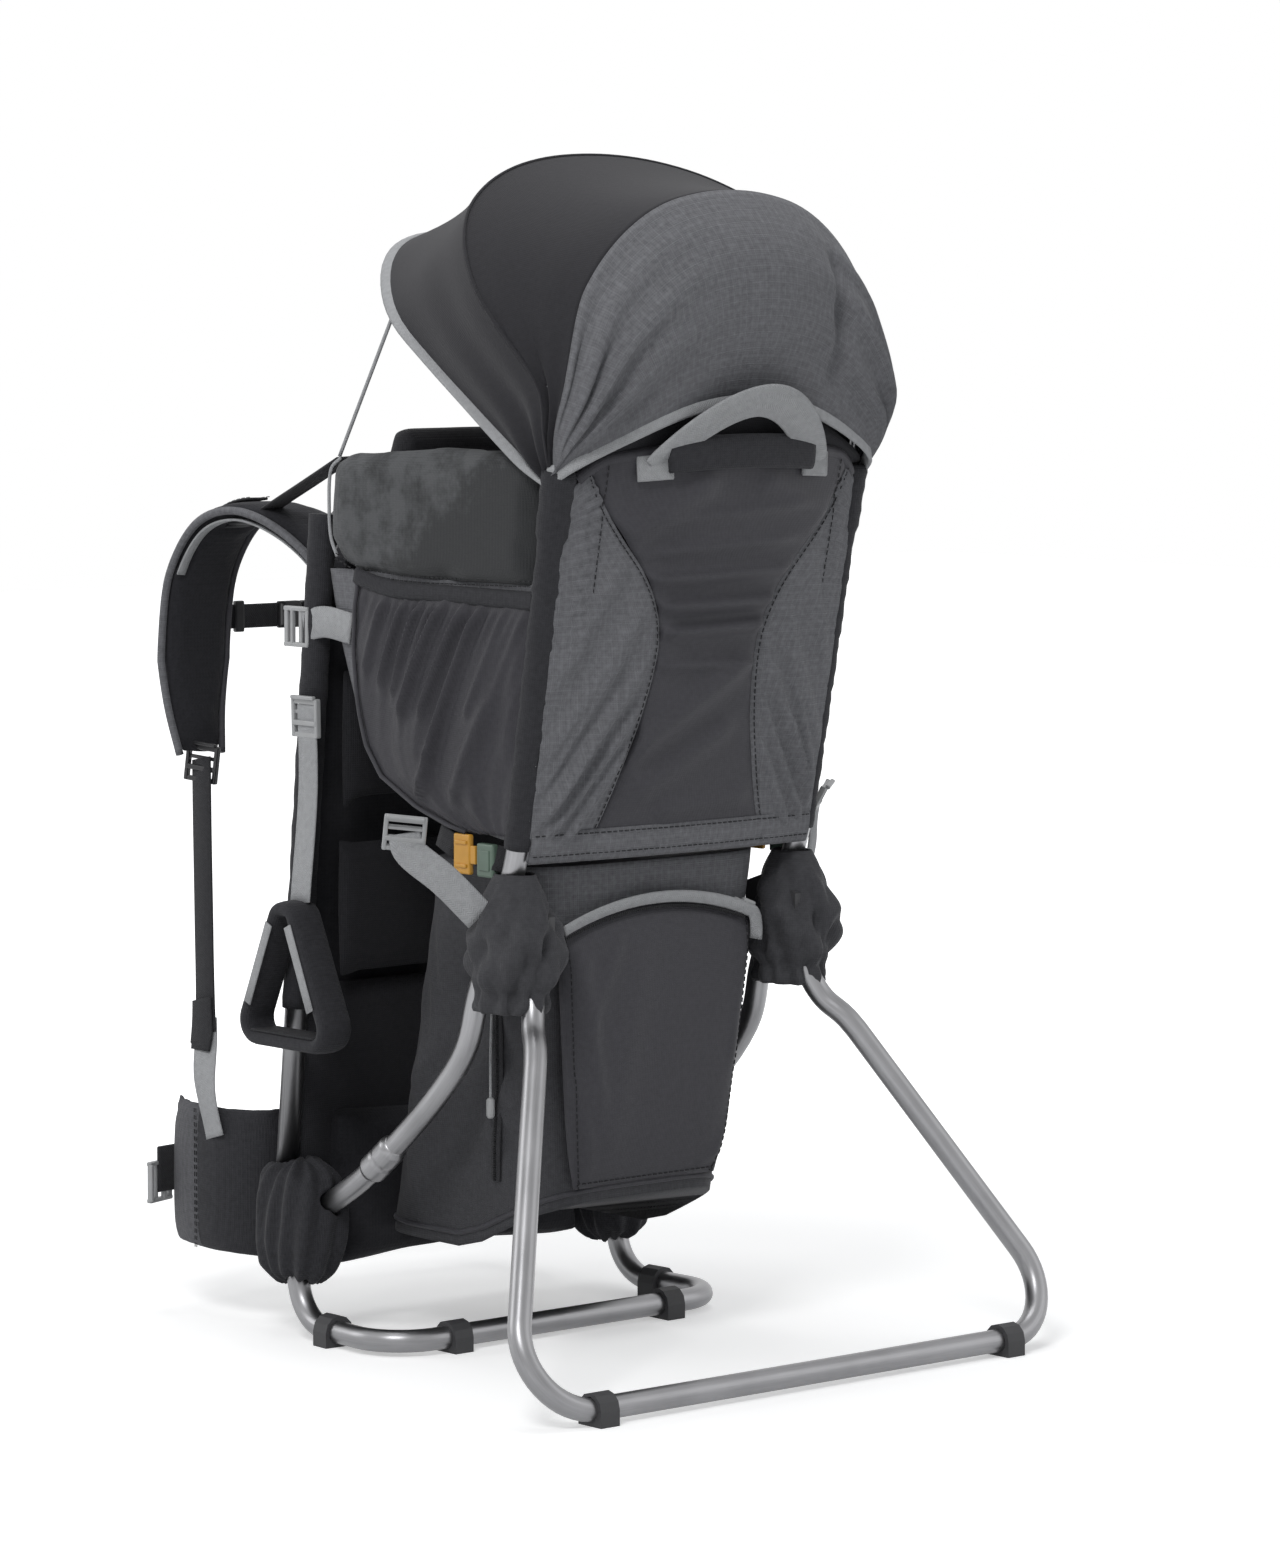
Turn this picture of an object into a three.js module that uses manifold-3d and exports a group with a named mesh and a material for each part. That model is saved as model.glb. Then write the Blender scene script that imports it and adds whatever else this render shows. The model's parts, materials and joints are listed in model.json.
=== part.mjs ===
// Baby carrier backpack: a tube frame with a folding kickstand, a padded cabin, a sun canopy,
// a storage bag and a wearer's harness. Millimetres, +Z up, +Y is the way the wearer faces.
import * as THREE from 'three';
import { mergeVertices } from 'three/addons/utils/BufferGeometryUtils.js';
import Module from 'manifold-3d';

const wasm = await Module();
wasm.setup();

// ---- Driving dimensions ----------------------------------------------------------------

const GAP = 0.3;              // clearance between pieces that touch
const TUBE_R = 9;             // radius of every frame tube
const FOOT_H = 3;             // height of a tube's underside above the floor
const FOOT_WALL = 4;          // wall of a clip foot around its tube
const FOOT_LENGTH = 18;       // length of a clip foot along its tube

const UPRIGHT_HALF = 165;     // half the spacing of the uprights at the lower joint
const BASE_HALF = 174;        // half the spacing of the base loop's rear corners
const BACK_HALF = 142;        // half the spacing of the uprights at the top
const BASE_FRONT_Y = 139.6;   // where the uprights' lines meet the base loop
const BASE_REAR_Y = 21;       // centre of the base cross bar
const UPRIGHT_LEAN = 0.268;   // forward lean of the uprights below the joint
const JOINT_Z = 112;          // height at which the uprights are joined
const BACK_TOP_Z = 665;       // centre of the back frame's top bar
const BACK_TOP_Y = 142;       // its place fore and aft
const BASE_BEND_R = 38;       // bend from upright to base
const CORNER_R = 42;          // bend at the base loop's rear corners
const TOP_BEND_R = 60;        // bends at the top of the back frame

const HINGE_Y = -104;         // kickstand pivot axis, which runs along X
const HINGE_Z = 338;
const LEG_TOP_HALF = 139;     // kickstand leg at its pivot
const STAND_HALF = 289;       // half the width of the kickstand at the floor
const STAND_Y = -271;         // centre of the kickstand's floor bar
const STAND_BEND_R = 50;
const STAND_FOLD = 45;        // degrees from standing to folded
const PIN_R = 3;              // kickstand pivot pin
const CHEEK_T = 7;            // wall of the hinge bracket on each side of the leg
const FERRULE_WALL = 3;       // wall of the ferrule around a side tube
const SOCKET_WALL = 3.5;      // wall of the canopy sockets around the side tubes

const SIDE_HALF = 147.5;      // side tube at its top, from the centre plane
const SIDE_TOP_Y = -150.4;    // side tube's top end
const SIDE_TOP_Z = 672;
const SIDE_BEND_Y = -100.6;   // where the side tube's straight upper run begins
const SIDE_BEND_Z = 408;

const WALL_OUT = 148;         // outer face of the cabin's side walls
const WALL_T = 12;            // thickness of a side wall
const COLLAR_T = 24;          // thickness of the padded collar
const POCKET_T = 8;           // thickness of a stretch pocket
const PANEL_T = 10;           // thickness of the rear panel
const PANEL_BASE_HALF = 139;  // half its width at the foot
const PANEL_TOP_HALF = 146;   // half its width at the top
const PANEL_TOP_Z = 700;      // its top edge at the sides
const PANEL_CREST = 12;       // how much higher the edge is in the middle
const FRONT_WALL_T = 8;       // thickness of the cabin's front wall
const BACK_PAD_T = 18;        // thickness of the wearer's back pad

const BAG_TOP_Z = 390;        // top of the storage bag
const BAG_BASE_Z = 80;        // its base
const BAG_HALF = 124;         // half its width at the top
const BAG_BASE_HALF = 98;     // half its width at the base
const BAG_FRONT_Y = 58;
const BAG_REAR_Y = -86;
const POCKET_DEPTH = 14;      // how far the zipped pocket stands out of the bag

const BOW_R = 3;              // canopy bow rod
const BOW_PIVOT_Y = -167;     // canopy fold axis, which runs along X
const BOW_PIVOT_Z = 755;
const CORD_R = 1.5;           // radius of the visor's elastic cords
const CLOTH_T = 2.4;          // thickness of canopy cloth
const HEM_ANGLE = 30;         // slopes of the canopy's hoops above the horizontal, in degrees
const FRONT_BOW_ANGLE = 50;
const REAR_BOW_ANGLE = 95;

const STRAP_HALF = 112;       // middle of a shoulder strap at the chest
const STRAP_W = 62;           // width of a shoulder strap
const STRAP_T = 14;
const WEB_T = 2;              // thickness of webbing
const WEB_W = 25;             // width of the wide webbing
const WEB_NARROW = 20;

const WING_HALF = 162;        // outside of the hip belt's wings
const WING_T = 16;
const WING_TOP_Z = 182;
const WING_BASE_Z = 48;
const WING_FRONT_Y = 322;

const STIRRUP_CLEAR = 0.56;   // between a stirrup's loop and the upright beside its sole
const STIRRUP_TOP_Z = 352;    // where its loop hangs from the webbing
const STIRRUP_SOLE_Z = 236;
const STIRRUP_W = 32;         // width of its loop

const BASE_Z = FOOT_H + TUBE_R;
const JOINT_Y = BASE_FRONT_Y + UPRIGHT_LEAN * (JOINT_Z - BASE_Z);

// ---- Colours and finishes ---------------------------------------------------------------

function finish(color, roughness, metalness = 0) {
  return new THREE.MeshStandardMaterial({ color, roughness, metalness });
}

const alloy = finish(0xa9abae, 0.32, 0.9);
const blackPlastic = finish(0x1d1e20, 0.5);
const greyPlastic = finish(0xa4a7a8, 0.45);
const amberPlastic = finish(0xc98a22, 0.45);
const greenPlastic = finish(0x5c6a5c, 0.45);
const ripstop = finish(0x56585b, 0.85);
const smoothCloth = finish(0x3c3d41, 0.8);
const velour = finish(0x4b4d4f, 0.95);
const darkCloth = finish(0x222327, 0.9);
const greyWebbing = finish(0xa3a6a7, 0.85);
const blackWebbing = finish(0x2a2b2e, 0.85);

// ---- Building blocks --------------------------------------------------------------------

const pack = new THREE.Group();
const vec = (x, y, z) => new THREE.Vector3(x, y, z);
const radians = THREE.MathUtils.degToRad;
const lerp = THREE.MathUtils.lerp;

/** Leaves only merged positions in a geometry. */
function bare(geometry) {
  const copy = geometry.clone();
  copy.deleteAttribute('normal');
  copy.deleteAttribute('uv');
  return mergeVertices(copy, 1e-4);
}

/** A geometry as a solid that can be cut and joined. */
function solid(geometry) {
  const merged = bare(geometry);
  const mesh = new wasm.Mesh({
    numProp: 3,
    vertProperties: new Float32Array(merged.attributes.position.array),
    triVerts: new Uint32Array(merged.index.array),
  });
  return new wasm.Manifold(mesh);
}

/** A solid back as a geometry. */
function shell(body) {
  const mesh = body.getMesh();
  const geometry = new THREE.BufferGeometry();
  geometry.setAttribute('position', new THREE.BufferAttribute(mesh.vertProperties, 3));
  geometry.setIndex(new THREE.BufferAttribute(mesh.triVerts, 1));
  return geometry;
}

function cut(geometry, ...tools) {
  const body = tools.reduce((left, tool) => left.subtract(solid(tool)), solid(geometry));
  return shell(body);
}

function join(geometry, ...others) {
  const body = others.reduce((sum, other) => sum.add(solid(other)), solid(geometry));
  return shell(body);
}

/** The same shape on the other side of the centre plane. */
function mirrored(geometry) {
  const copy = bare(geometry);
  copy.scale(-1, 1, 1);
  const index = copy.index.array;
  for (let i = 0; i < index.length; i += 3) {
    const keep = index[i];
    index[i] = index[i + 1];
    index[i + 1] = keep;
  }
  return copy;
}

function add(name, geometry, material) {
  const mesh = new THREE.Mesh(geometry, material);
  mesh.name = name;
  pack.add(mesh);
}

/** One piece on each side: the shape given is the right-hand one. */
function addPair(name, geometry, material) {
  add(`${name}_right`, geometry, material);
  add(`${name}_left`, mirrored(geometry), material);
}

/** A curve that passes straight from each listed point to the next. */
class Route extends THREE.Curve {
  constructor(points) {
    super();
    this.points = points;
  }

  getPoint(t, target = new THREE.Vector3()) {
    const last = this.points.length - 1;
    const at = Math.min(t * last, last - 1e-9);
    const i = Math.floor(at);
    return target.copy(this.points[i]).lerp(this.points[i + 1], at - i);
  }

  getPointAt(u, target) {
    return this.getPoint(u, target);
  }

  getTangentAt(u, target = new THREE.Vector3()) {
    const last = this.points.length - 1;
    const i = Math.round(u * last);
    const before = this.points[Math.max(i - 1, 0)];
    const after = this.points[Math.min(i + 1, last)];
    return target.copy(after).sub(before).normalize();
  }
}

/** Rounds the inner corners of a polyline with arcs of the given radii. */
function bent(corners, radii, steps = 4) {
  const points = [corners[0]];
  for (let i = 1; i < corners.length - 1; i += 1) {
    const back = corners[i - 1].clone().sub(corners[i]).normalize();
    const on = corners[i + 1].clone().sub(corners[i]).normalize();
    const half = back.angleTo(on) / 2;
    const reach = radii[i - 1] / Math.tan(half);
    const start = corners[i].clone().addScaledVector(back, reach);
    const middle = back.clone().add(on).normalize();
    const centre = corners[i].clone().addScaledVector(middle, radii[i - 1] / Math.sin(half));
    const axis = back.clone().cross(on).normalize();
    const arm = start.clone().sub(centre);
    const turn = Math.PI - 2 * half;
    for (let k = 0; k <= steps; k += 1) {
      const swung = arm.clone().applyAxisAngle(axis, -turn * k / steps);
      points.push(centre.clone().add(swung));
    }
  }
  points.push(corners.at(-1));
  return points;
}

/** Points of a smooth curve through the listed ones. */
function smooth(points, steps) {
  return new THREE.CatmullRomCurve3(points, false, 'centripetal').getPoints(steps);
}

function tube(points, radius, sides = 10) {
  const section = new THREE.Shape();
  for (let i = 0; i < sides; i += 1) {
    const angle = 2 * Math.PI * i / sides;
    const x = radius * Math.cos(angle);
    const y = radius * Math.sin(angle);
    if (i === 0) section.moveTo(x, y);
    else section.lineTo(x, y);
  }
  section.closePath();
  const options = { steps: points.length - 1, extrudePath: new Route(points), bevelEnabled: false };
  return new THREE.ExtrudeGeometry(section, options);
}

/** An outline in Y and Z, given as pairs, swept along X from x0 to x1. */
function slabX(outline, x0, x1, bevel = 0) {
  const shape = new THREE.Shape(outline.map(([y, z]) => new THREE.Vector2(y, z)));
  const options = {
    depth: x1 - x0 - 2 * bevel,
    bevelEnabled: bevel > 0,
    bevelThickness: bevel,
    bevelSize: bevel,
    bevelOffset: -bevel,
    bevelSegments: 1,
  };
  const geometry = new THREE.ExtrudeGeometry(shape, options);
  geometry.translate(0, 0, bevel);
  const swap = new THREE.Matrix4().set(0, 0, 1, x0, 1, 0, 0, 0, 0, 1, 0, 0, 0, 0, 0, 1);
  return geometry.applyMatrix4(swap);
}

/** A closed block whose points are placed by a rule of u, v and w, each from -1 to 1. */
function shaped(nu, nv, nw, place) {
  const geometry = new THREE.BoxGeometry(2, 2, 2, nu, nv, nw);
  const at = geometry.attributes.position;
  for (let i = 0; i < at.count; i += 1) {
    const p = place(at.getX(i), at.getY(i), at.getZ(i));
    at.setXYZ(i, p.x, p.y, p.z);
  }
  return bare(geometry);
}

/** A soft lump between a box and an ellipsoid. */
function lump(centre, half, power = 3, divisions = 3) {
  return shaped(divisions, divisions, divisions, (u, v, w) => {
    const p = vec(Math.sin(u * Math.PI / 4), Math.sin(v * Math.PI / 4), Math.sin(w * Math.PI / 4));
    const sum = Math.abs(p.x) ** power + Math.abs(p.y) ** power + Math.abs(p.z) ** power;
    return p.divideScalar(sum ** (1 / power)).multiply(half).add(centre);
  });
}

function block(x0, x1, y0, y1, z0, z1) {
  const geometry = new THREE.BoxGeometry(x1 - x0, y1 - y0, z1 - z0);
  return geometry.translate((x0 + x1) / 2, (y0 + y1) / 2, (z0 + z1) / 2);
}

/** A flat strap: its middle line, the direction of its width, its width and thickness. */
function strap(points, across, width, thickness) {
  const route = new Route(points);
  const steps = points.length - 1;
  const side = across.clone().normalize();
  return shaped(steps, 1, 1, (u, v, w) => {
    const t = (u + 1) / 2;
    const out = route.getTangentAt(t).cross(side).normalize();
    const p = route.getPoint(t).addScaledVector(side, v * width / 2);
    return p.addScaledVector(out, w * thickness / 2);
  });
}

/** A rod along X. */
function crossRod(x0, x1, y, z, radius, sides = 12) {
  const geometry = new THREE.CylinderGeometry(radius, radius, x1 - x0, sides);
  return geometry.rotateZ(-Math.PI / 2).translate((x0 + x1) / 2, y, z);
}

// ---- Frame tubes ------------------------------------------------------------------------

/** Uprights above the lower joint, as a place at a height. */
function uprightAt(z) {
  const t = (z - JOINT_Z) / (BACK_TOP_Z - JOINT_Z);
  return vec(lerp(UPRIGHT_HALF, BACK_HALF, t), lerp(JOINT_Y, BACK_TOP_Y, t), z);
}

/** Straight upper run of the side tubes, as a place at a height. */
function sideAt(z) {
  const t = (z - SIDE_BEND_Z) / (SIDE_TOP_Z - SIDE_BEND_Z);
  return vec(lerp(144, SIDE_HALF, t), lerp(SIDE_BEND_Y, SIDE_TOP_Y, t), z);
}

const across = (p) => vec(-p.x, p.y, p.z);
const bothSides = (half) => [...half, ...half.map(across).reverse()];

const baseRoute = bent(bothSides([
  vec(UPRIGHT_HALF, JOINT_Y, JOINT_Z),
  vec(UPRIGHT_HALF + 2, BASE_FRONT_Y, BASE_Z),
  vec(BASE_HALF, BASE_REAR_Y, BASE_Z),
]), [BASE_BEND_R, CORNER_R, CORNER_R, BASE_BEND_R]);
const backRoute = bent(bothSides([uprightAt(JOINT_Z + 4), uprightAt(BACK_TOP_Z)]), [TOP_BEND_R, TOP_BEND_R]);
const sideRoute = smooth([
  vec(UPRIGHT_HALF - 12, JOINT_Y - 25, JOINT_Z - 13),
  vec(151, 71.2, 142.4),
  vec(147, -37, 243.7),
  vec(145, -53.9, 293.4),
  vec(143.5, -76, 345),
  sideAt(SIDE_BEND_Z),
  sideAt(540),
  sideAt(SIDE_TOP_Z),
], 16);
const legRoute = [
  vec(LEG_TOP_HALF, HINGE_Y + 2.2, HINGE_Z + 12),
  vec(LEG_TOP_HALF, HINGE_Y, HINGE_Z),
  vec(LEG_TOP_HALF + 0.6, HINGE_Y - 5, HINGE_Z - 26),
  vec(LEG_TOP_HALF + 3, HINGE_Y - 11, HINGE_Z - 48),
  vec(LEG_TOP_HALF + 10, HINGE_Y - 20, HINGE_Z - 66),
  vec(LEG_TOP_HALF + 21, HINGE_Y - 36, HINGE_Z - 82),
  vec(STAND_HALF, STAND_Y, BASE_Z),
];
const standRoute = bent(bothSides(legRoute).slice(5, -5), [STAND_BEND_R, STAND_BEND_R], 6);
const kneeRun = legRoute.slice(0, 5);
const wholeStandRoute = [...kneeRun, ...standRoute, ...kneeRun.map(across).reverse()];

const baseClear = tube(baseRoute, TUBE_R + GAP);
const backClear = tube(backRoute, TUBE_R + GAP);
const sideClear = tube(sideRoute, TUBE_R + GAP);
const pinX0 = LEG_TOP_HALF - TUBE_R - CHEEK_T;
const pinX1 = LEG_TOP_HALF + TUBE_R + CHEEK_T;
const pinClear = crossRod(pinX0 - 1, pinX1 + 1, HINGE_Y, HINGE_Z, PIN_R + GAP);

add('base_loop', tube(baseRoute, TUBE_R), alloy);
add('back_frame', tube(backRoute, TUBE_R), alloy);
const ferruleRun = sideRoute.slice(2, 4);
addPair('side_tube', join(tube(sideRoute, TUBE_R), tube(ferruleRun, TUBE_R + FERRULE_WALL)), alloy);
add('kickstand', cut(tube(wholeStandRoute, TUBE_R), pinClear, mirrored(pinClear)), alloy);

/** A clip foot around a tube that runs along +Y at the origin, standing on the floor. */
function footShape(z) {
  const shape = new THREE.Shape();
  const outer = TUBE_R + FOOT_WALL;
  shape.moveTo(-outer, 0);
  shape.lineTo(outer, 0);
  shape.lineTo(outer, z);
  for (let i = 1; i < 6; i += 1) {
    const angle = Math.PI * i / 6;
    shape.lineTo(outer * Math.cos(angle), z + outer * Math.sin(angle));
  }
  shape.lineTo(-outer, z);
  shape.closePath();
  const geometry = new THREE.ExtrudeGeometry(shape, { depth: FOOT_LENGTH, bevelEnabled: false });
  return geometry.translate(0, 0, -FOOT_LENGTH / 2).rotateX(Math.PI / 2);
}

const standClear = tube(wholeStandRoute, TUBE_R + GAP);
const footSpots = {
  front_foot: [vec(UPRIGHT_HALF + 3.4, 101, 0), 0.06, baseClear],
  rear_foot: [vec(110, BASE_REAR_Y, 0), Math.PI / 2, baseClear],
  stand_foot: [vec(208, STAND_Y, 0), Math.PI / 2, standClear],
};
for (const [name, [spot, turn, clear]] of Object.entries(footSpots)) {
  const foot = footShape(BASE_Z).rotateZ(turn).translate(spot.x, spot.y, 0);
  addPair(name, cut(foot, clear), blackPlastic);
}

// ---- Joints of the frame ----------------------------------------------------------------

const bootCentre = vec(UPRIGHT_HALF - 5, JOINT_Y - 12, JOINT_Z - 20);
const bootHalf = vec(32, 42, 54);
const boot = lump(bootCentre, bootHalf);
addPair('lower_joint_cover', cut(boot, baseClear, backClear, sideClear), darkCloth);

/** The space that a leg sweeps below its pivot, between two faces across X. */
function legSweep(x0, x1, reach) {
  const room = TUBE_R + 1.5;
  const outline = [];
  const margin = Math.asin(room / reach);
  const rest = Math.atan2(-12, 48) - margin;
  const folded = Math.atan2(-5, 26) + radians(STAND_FOLD) + margin;
  for (let i = 0; i <= 8; i += 1) {
    const angle = lerp(rest, folded, i / 8);
    outline.push([HINGE_Y + reach * Math.sin(angle), HINGE_Z - reach * Math.cos(angle)]);
  }
  for (let i = 0; i <= 8; i += 1) {
    const angle = folded + lerp(Math.PI / 2, 3 * Math.PI / 2 - (folded - rest), i / 8);
    outline.push([HINGE_Y + room * Math.sin(angle), HINGE_Z - room * Math.cos(angle)]);
  }
  return slabX(outline, x0, x1);
}

/** The hinge bracket's block, grown by some room all round. */
function hingeBlockWith(room) {
  const corners = [[-15 - room, -18 - room], [44 + room, -18 - room], [44 + room, 24 + room]];
  corners.push([20, 32 + 1.2 * room], [-15 - room, 18 + room]);
  const outline = corners.map(([y, z]) => [HINGE_Y + y, HINGE_Z + z]);
  return slabX(outline, pinX0 - room, pinX1 + room);
}

const hingeBlock = hingeBlockWith(0);
const hingeBlockClear = hingeBlockWith(GAP + 0.1);
const slotX0 = LEG_TOP_HALF - TUBE_R - 1;
const slotX1 = LEG_TOP_HALF + TUBE_R + 1.6;
const legSlot = legSweep(slotX0, slotX1, 60);
const legTopSlot = slabX([
  [HINGE_Y - 16, HINGE_Z - 4], [HINGE_Y + 13, HINGE_Z - 4], [HINGE_Y + 14, HINGE_Z + 12],
  [HINGE_Y + 10, HINGE_Z + 18], [HINGE_Y - 18, HINGE_Z + 18],
], slotX0, slotX1);
addPair('hinge_bracket', cut(hingeBlock, sideClear, legSlot, legTopSlot, pinClear), blackPlastic);
addPair('hinge_pin', crossRod(pinX0, pinX1, HINGE_Y, HINGE_Z, PIN_R), alloy);

const bonnetCentre = vec(LEG_TOP_HALF + 2.5, HINGE_Y + 14, HINGE_Z - 2);
const bonnetHalf = vec(34, 42, 54);
const bonnet = lump(bonnetCentre, bonnetHalf);
const bonnetMouth = legSweep(LEG_TOP_HALF - TUBE_R - 1.5, LEG_TOP_HALF + TUBE_R + 10, 90);
const bonnetCut = cut(bonnet, sideClear, hingeBlockClear, bonnetMouth, pinClear);

// ---- Canopy -----------------------------------------------------------------------------

const socketRun = [sideAt(SIDE_TOP_Z - 18), sideAt(SIDE_TOP_Z + 22)];
const poleFoot = sideAt(SIDE_TOP_Z + 5);
const bowPivot = vec(SIDE_HALF, BOW_PIVOT_Y, BOW_PIVOT_Z);

/** A point at a distance along a hoop's plane, which leans from the horizontal. */
function onPlane(origin, x, reach, degrees) {
  const angle = radians(degrees);
  return vec(x, origin.y + reach * Math.cos(angle), origin.z + reach * Math.sin(angle));
}

const HOOP_STEPS = 16;

/** A hoop from its right end to its left, from pairs of half width and reach. */
function hoop(origin, pairs, degrees) {
  const half = pairs.map(([x, reach]) => onPlane(origin, x, reach, degrees));
  const whole = [...half, ...half.slice(0, -1).map(across).reverse()];
  return smooth(whole, HOOP_STEPS);
}

const hemCorner = sideAt(SIDE_TOP_Z + 14);
const frontBowPairs = [
  [162, 0], [174, 32], [184, 80], [178, 122], [156, 166], [112, 202], [58, 222], [0, 228],
];
const rearBowPairs = [[SIDE_HALF, 22], [146, 50], [132, 82], [106, 112], [72, 134], [36, 144], [0, 147]];
const hemPairs = [
  [158, 18], [156, 60], [150, 118], [143, 184], [134, 240], [111, 290], [72, 342], [36, 368], [0, 378],
];
const frontBow = hoop(bowPivot, frontBowPairs, FRONT_BOW_ANGLE);
const rearArch = hoop(bowPivot, rearBowPairs, REAR_BOW_ANGLE);
const rearBow = [poleFoot, bowPivot, ...rearArch, across(bowPivot), across(poleFoot)];
const hemLine = hoop(hemCorner, hemPairs, HEM_ANGLE);
const rearHemHalf = [vec(152, -164, 696), vec(132, -176, 706), vec(96, -190, 722), vec(50, -200, 738)];
const rearHemMiddle = vec(0, -204, 745);
const rearHem = smooth([...rearHemHalf, rearHemMiddle, ...rearHemHalf.map(across).reverse()], HOOP_STEPS);

const poleClear = tube(rearBow, BOW_R + GAP, 8);
const eyeT = 5;               // thickness of the front bow's eyes
const eyeR = 7;
const eyeX0 = SIDE_HALF + BOW_R + eyeT;
const eyeX1 = eyeX0 + eyeT;
const rivetR = 2;
const rivet = crossRod(SIDE_HALF, eyeX1 + 2, BOW_PIVOT_Y, BOW_PIVOT_Z, rivetR, 8);
const rivetClear = crossRod(SIDE_HALF, eyeX1 + 3, BOW_PIVOT_Y, BOW_PIVOT_Z, rivetR + GAP, 8);
const eye = crossRod(eyeX0, eyeX1, BOW_PIVOT_Y, BOW_PIVOT_Z, eyeR, 12);
const bowRod = tube(frontBow, BOW_R, 8);

const socket = cut(tube(socketRun, TUBE_R + SOCKET_WALL), sideClear, poleClear);
addPair('canopy_socket', socket, blackPlastic);
const pivotBlockD = 16;       // pivot block, fore and aft
const pivotBlockH = 18;
const pivotBlock = block(
  SIDE_HALF - 7, eyeX0 - GAP,
  BOW_PIVOT_Y - pivotBlockD / 2, BOW_PIVOT_Y + pivotBlockD / 2,
  BOW_PIVOT_Z - pivotBlockH / 2, BOW_PIVOT_Z + pivotBlockH / 2,
);
const pivots = [pivotBlock, mirrored(pivotBlock), rivet, mirrored(rivet)];
add('canopy_rear_bow', join(tube(rearBow, BOW_R, 8), ...pivots), alloy);
const bowWithEyes = join(bowRod, eye, mirrored(eye));
add('canopy_front_bow', cut(bowWithEyes, rivetClear, mirrored(rivetClear)), alloy);

/** Cloth between two lines of points, with a belly that stands out between them. */
function clothBetween(lineA, lineB, rows, belly) {
  const a = new Route(lineA);
  const b = new Route(lineB);
  const place = (s, t) => a.getPoint(s).lerp(b.getPoint(s), t).add(belly(s, t));
  return shaped(HOOP_STEPS - 2, rows, 1, (u, v, w) => {
    const s = 0.5 + u * (0.5 - 1 / HOOP_STEPS);
    const t = (v + 1) / 2;
    const alongS = place(s + 0.01, t).sub(place(s - 0.01, t));
    const alongT = place(s, t + 0.01).sub(place(s, t - 0.01));
    const out = alongS.cross(alongT).normalize();
    return place(s, t).addScaledVector(out, w * CLOTH_T / 2);
  });
}

const bowClear = tube(frontBow, BOW_R + GAP, 8);
const noBelly = () => vec(0, 0, 0);
const rearBelly = (s, t) => {
  const swell = Math.sin(Math.PI * t) * Math.sin(Math.PI * s) ** 0.6;
  return vec(0, -46 * swell, 14 * swell).add(vec(10 * Math.cos(Math.PI * s) * Math.sin(Math.PI * t), 0, 0));
};
const rearSide = tube(rearBow, BOW_R + GAP, 8);
const rearPanel = clothBetween(rearArch, rearHem, 3, rearBelly);
add('canopy_rear_panel', cut(rearPanel, rearSide), ripstop);
const middle = clothBetween(frontBow, rearArch, 2, noBelly);
add('canopy_middle_panel', cut(middle, rearSide, bowClear, pivotBlock, mirrored(pivotBlock)), smoothCloth);
const visor = clothBetween(hemLine, frontBow, 3, noBelly);
add('canopy_visor', cut(visor, bowClear), smoothCloth);

const cordTop = new Route(hemLine).getPoint(5 / HOOP_STEPS);
const cordFoot = vec(WALL_OUT - 4, 116, 712);
const cordRun = [0.014, 0.5, 1].map((t) => cordTop.clone().lerp(cordFoot, t));
addPair('visor_cord', tube(cordRun, CORD_R, 8), greyWebbing);

// ---- Cabin ------------------------------------------------------------------------------

const wallIn = WALL_OUT - WALL_T;
const tubeEdge = (z) => [sideAt(z).y + 4, z];
const collarSeam = [[130, 634], [112, 612], [84, 603], [0, 598], tubeEdge(600)];
const wallOutline = [
  tubeEdge(413), [-25, 423], [20, 436], [66, 457], [92, 505], [114, 560], [126, 610],
  ...collarSeam.slice(0, 4).map(([y, z]) => [y + 0.6, z - 0.6]), tubeEdge(599),
];

const collarTop = [[129, 660], [126, 693], [104, 706], [60, 713], [-15, 719], [-87, 717], [-146, 706]];
const collarOutline = [...[...collarSeam].reverse(), ...collarTop];
const collarX0 = WALL_OUT - 18;
const collar = slabX(collarOutline, collarX0, collarX0 + COLLAR_T, 5);
const socketClear = tube(socketRun, TUBE_R + SOCKET_WALL + GAP);
const cordClear = tube(cordRun, CORD_R + GAP, 8);
addPair('side_collar', cut(collar, sideClear, socketClear, poleClear, cordClear), velour);

const pocketOutline = [
  [-96, 420], [-25, 430], [20, 443], [60, 466], [82, 512], [88, 560], [74, 594], [-20, 588], [-122, 588],
];
const pocket = slabX(pocketOutline, WALL_OUT - 4, WALL_OUT + POCKET_T, 3);
addPair('side_wall', cut(join(slabX(wallOutline, wallIn, WALL_OUT), pocket), sideClear), ripstop);

/** Outside of the rear panel: it follows the side tubes and stands out in the middle. */
function rearFace(x, z) {
  const t = (z - BAG_TOP_Z) / (PANEL_TOP_Z + 2 - BAG_TOP_Z);
  const middleness = 1 - (x / SIDE_HALF) ** 2;
  const bellyBase = 8;
  const bellyTop = 30;
  return sideAt(z).y - 9 - middleness * lerp(bellyBase, bellyTop, Math.min(Math.max(t, 0), 1));
}

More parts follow.
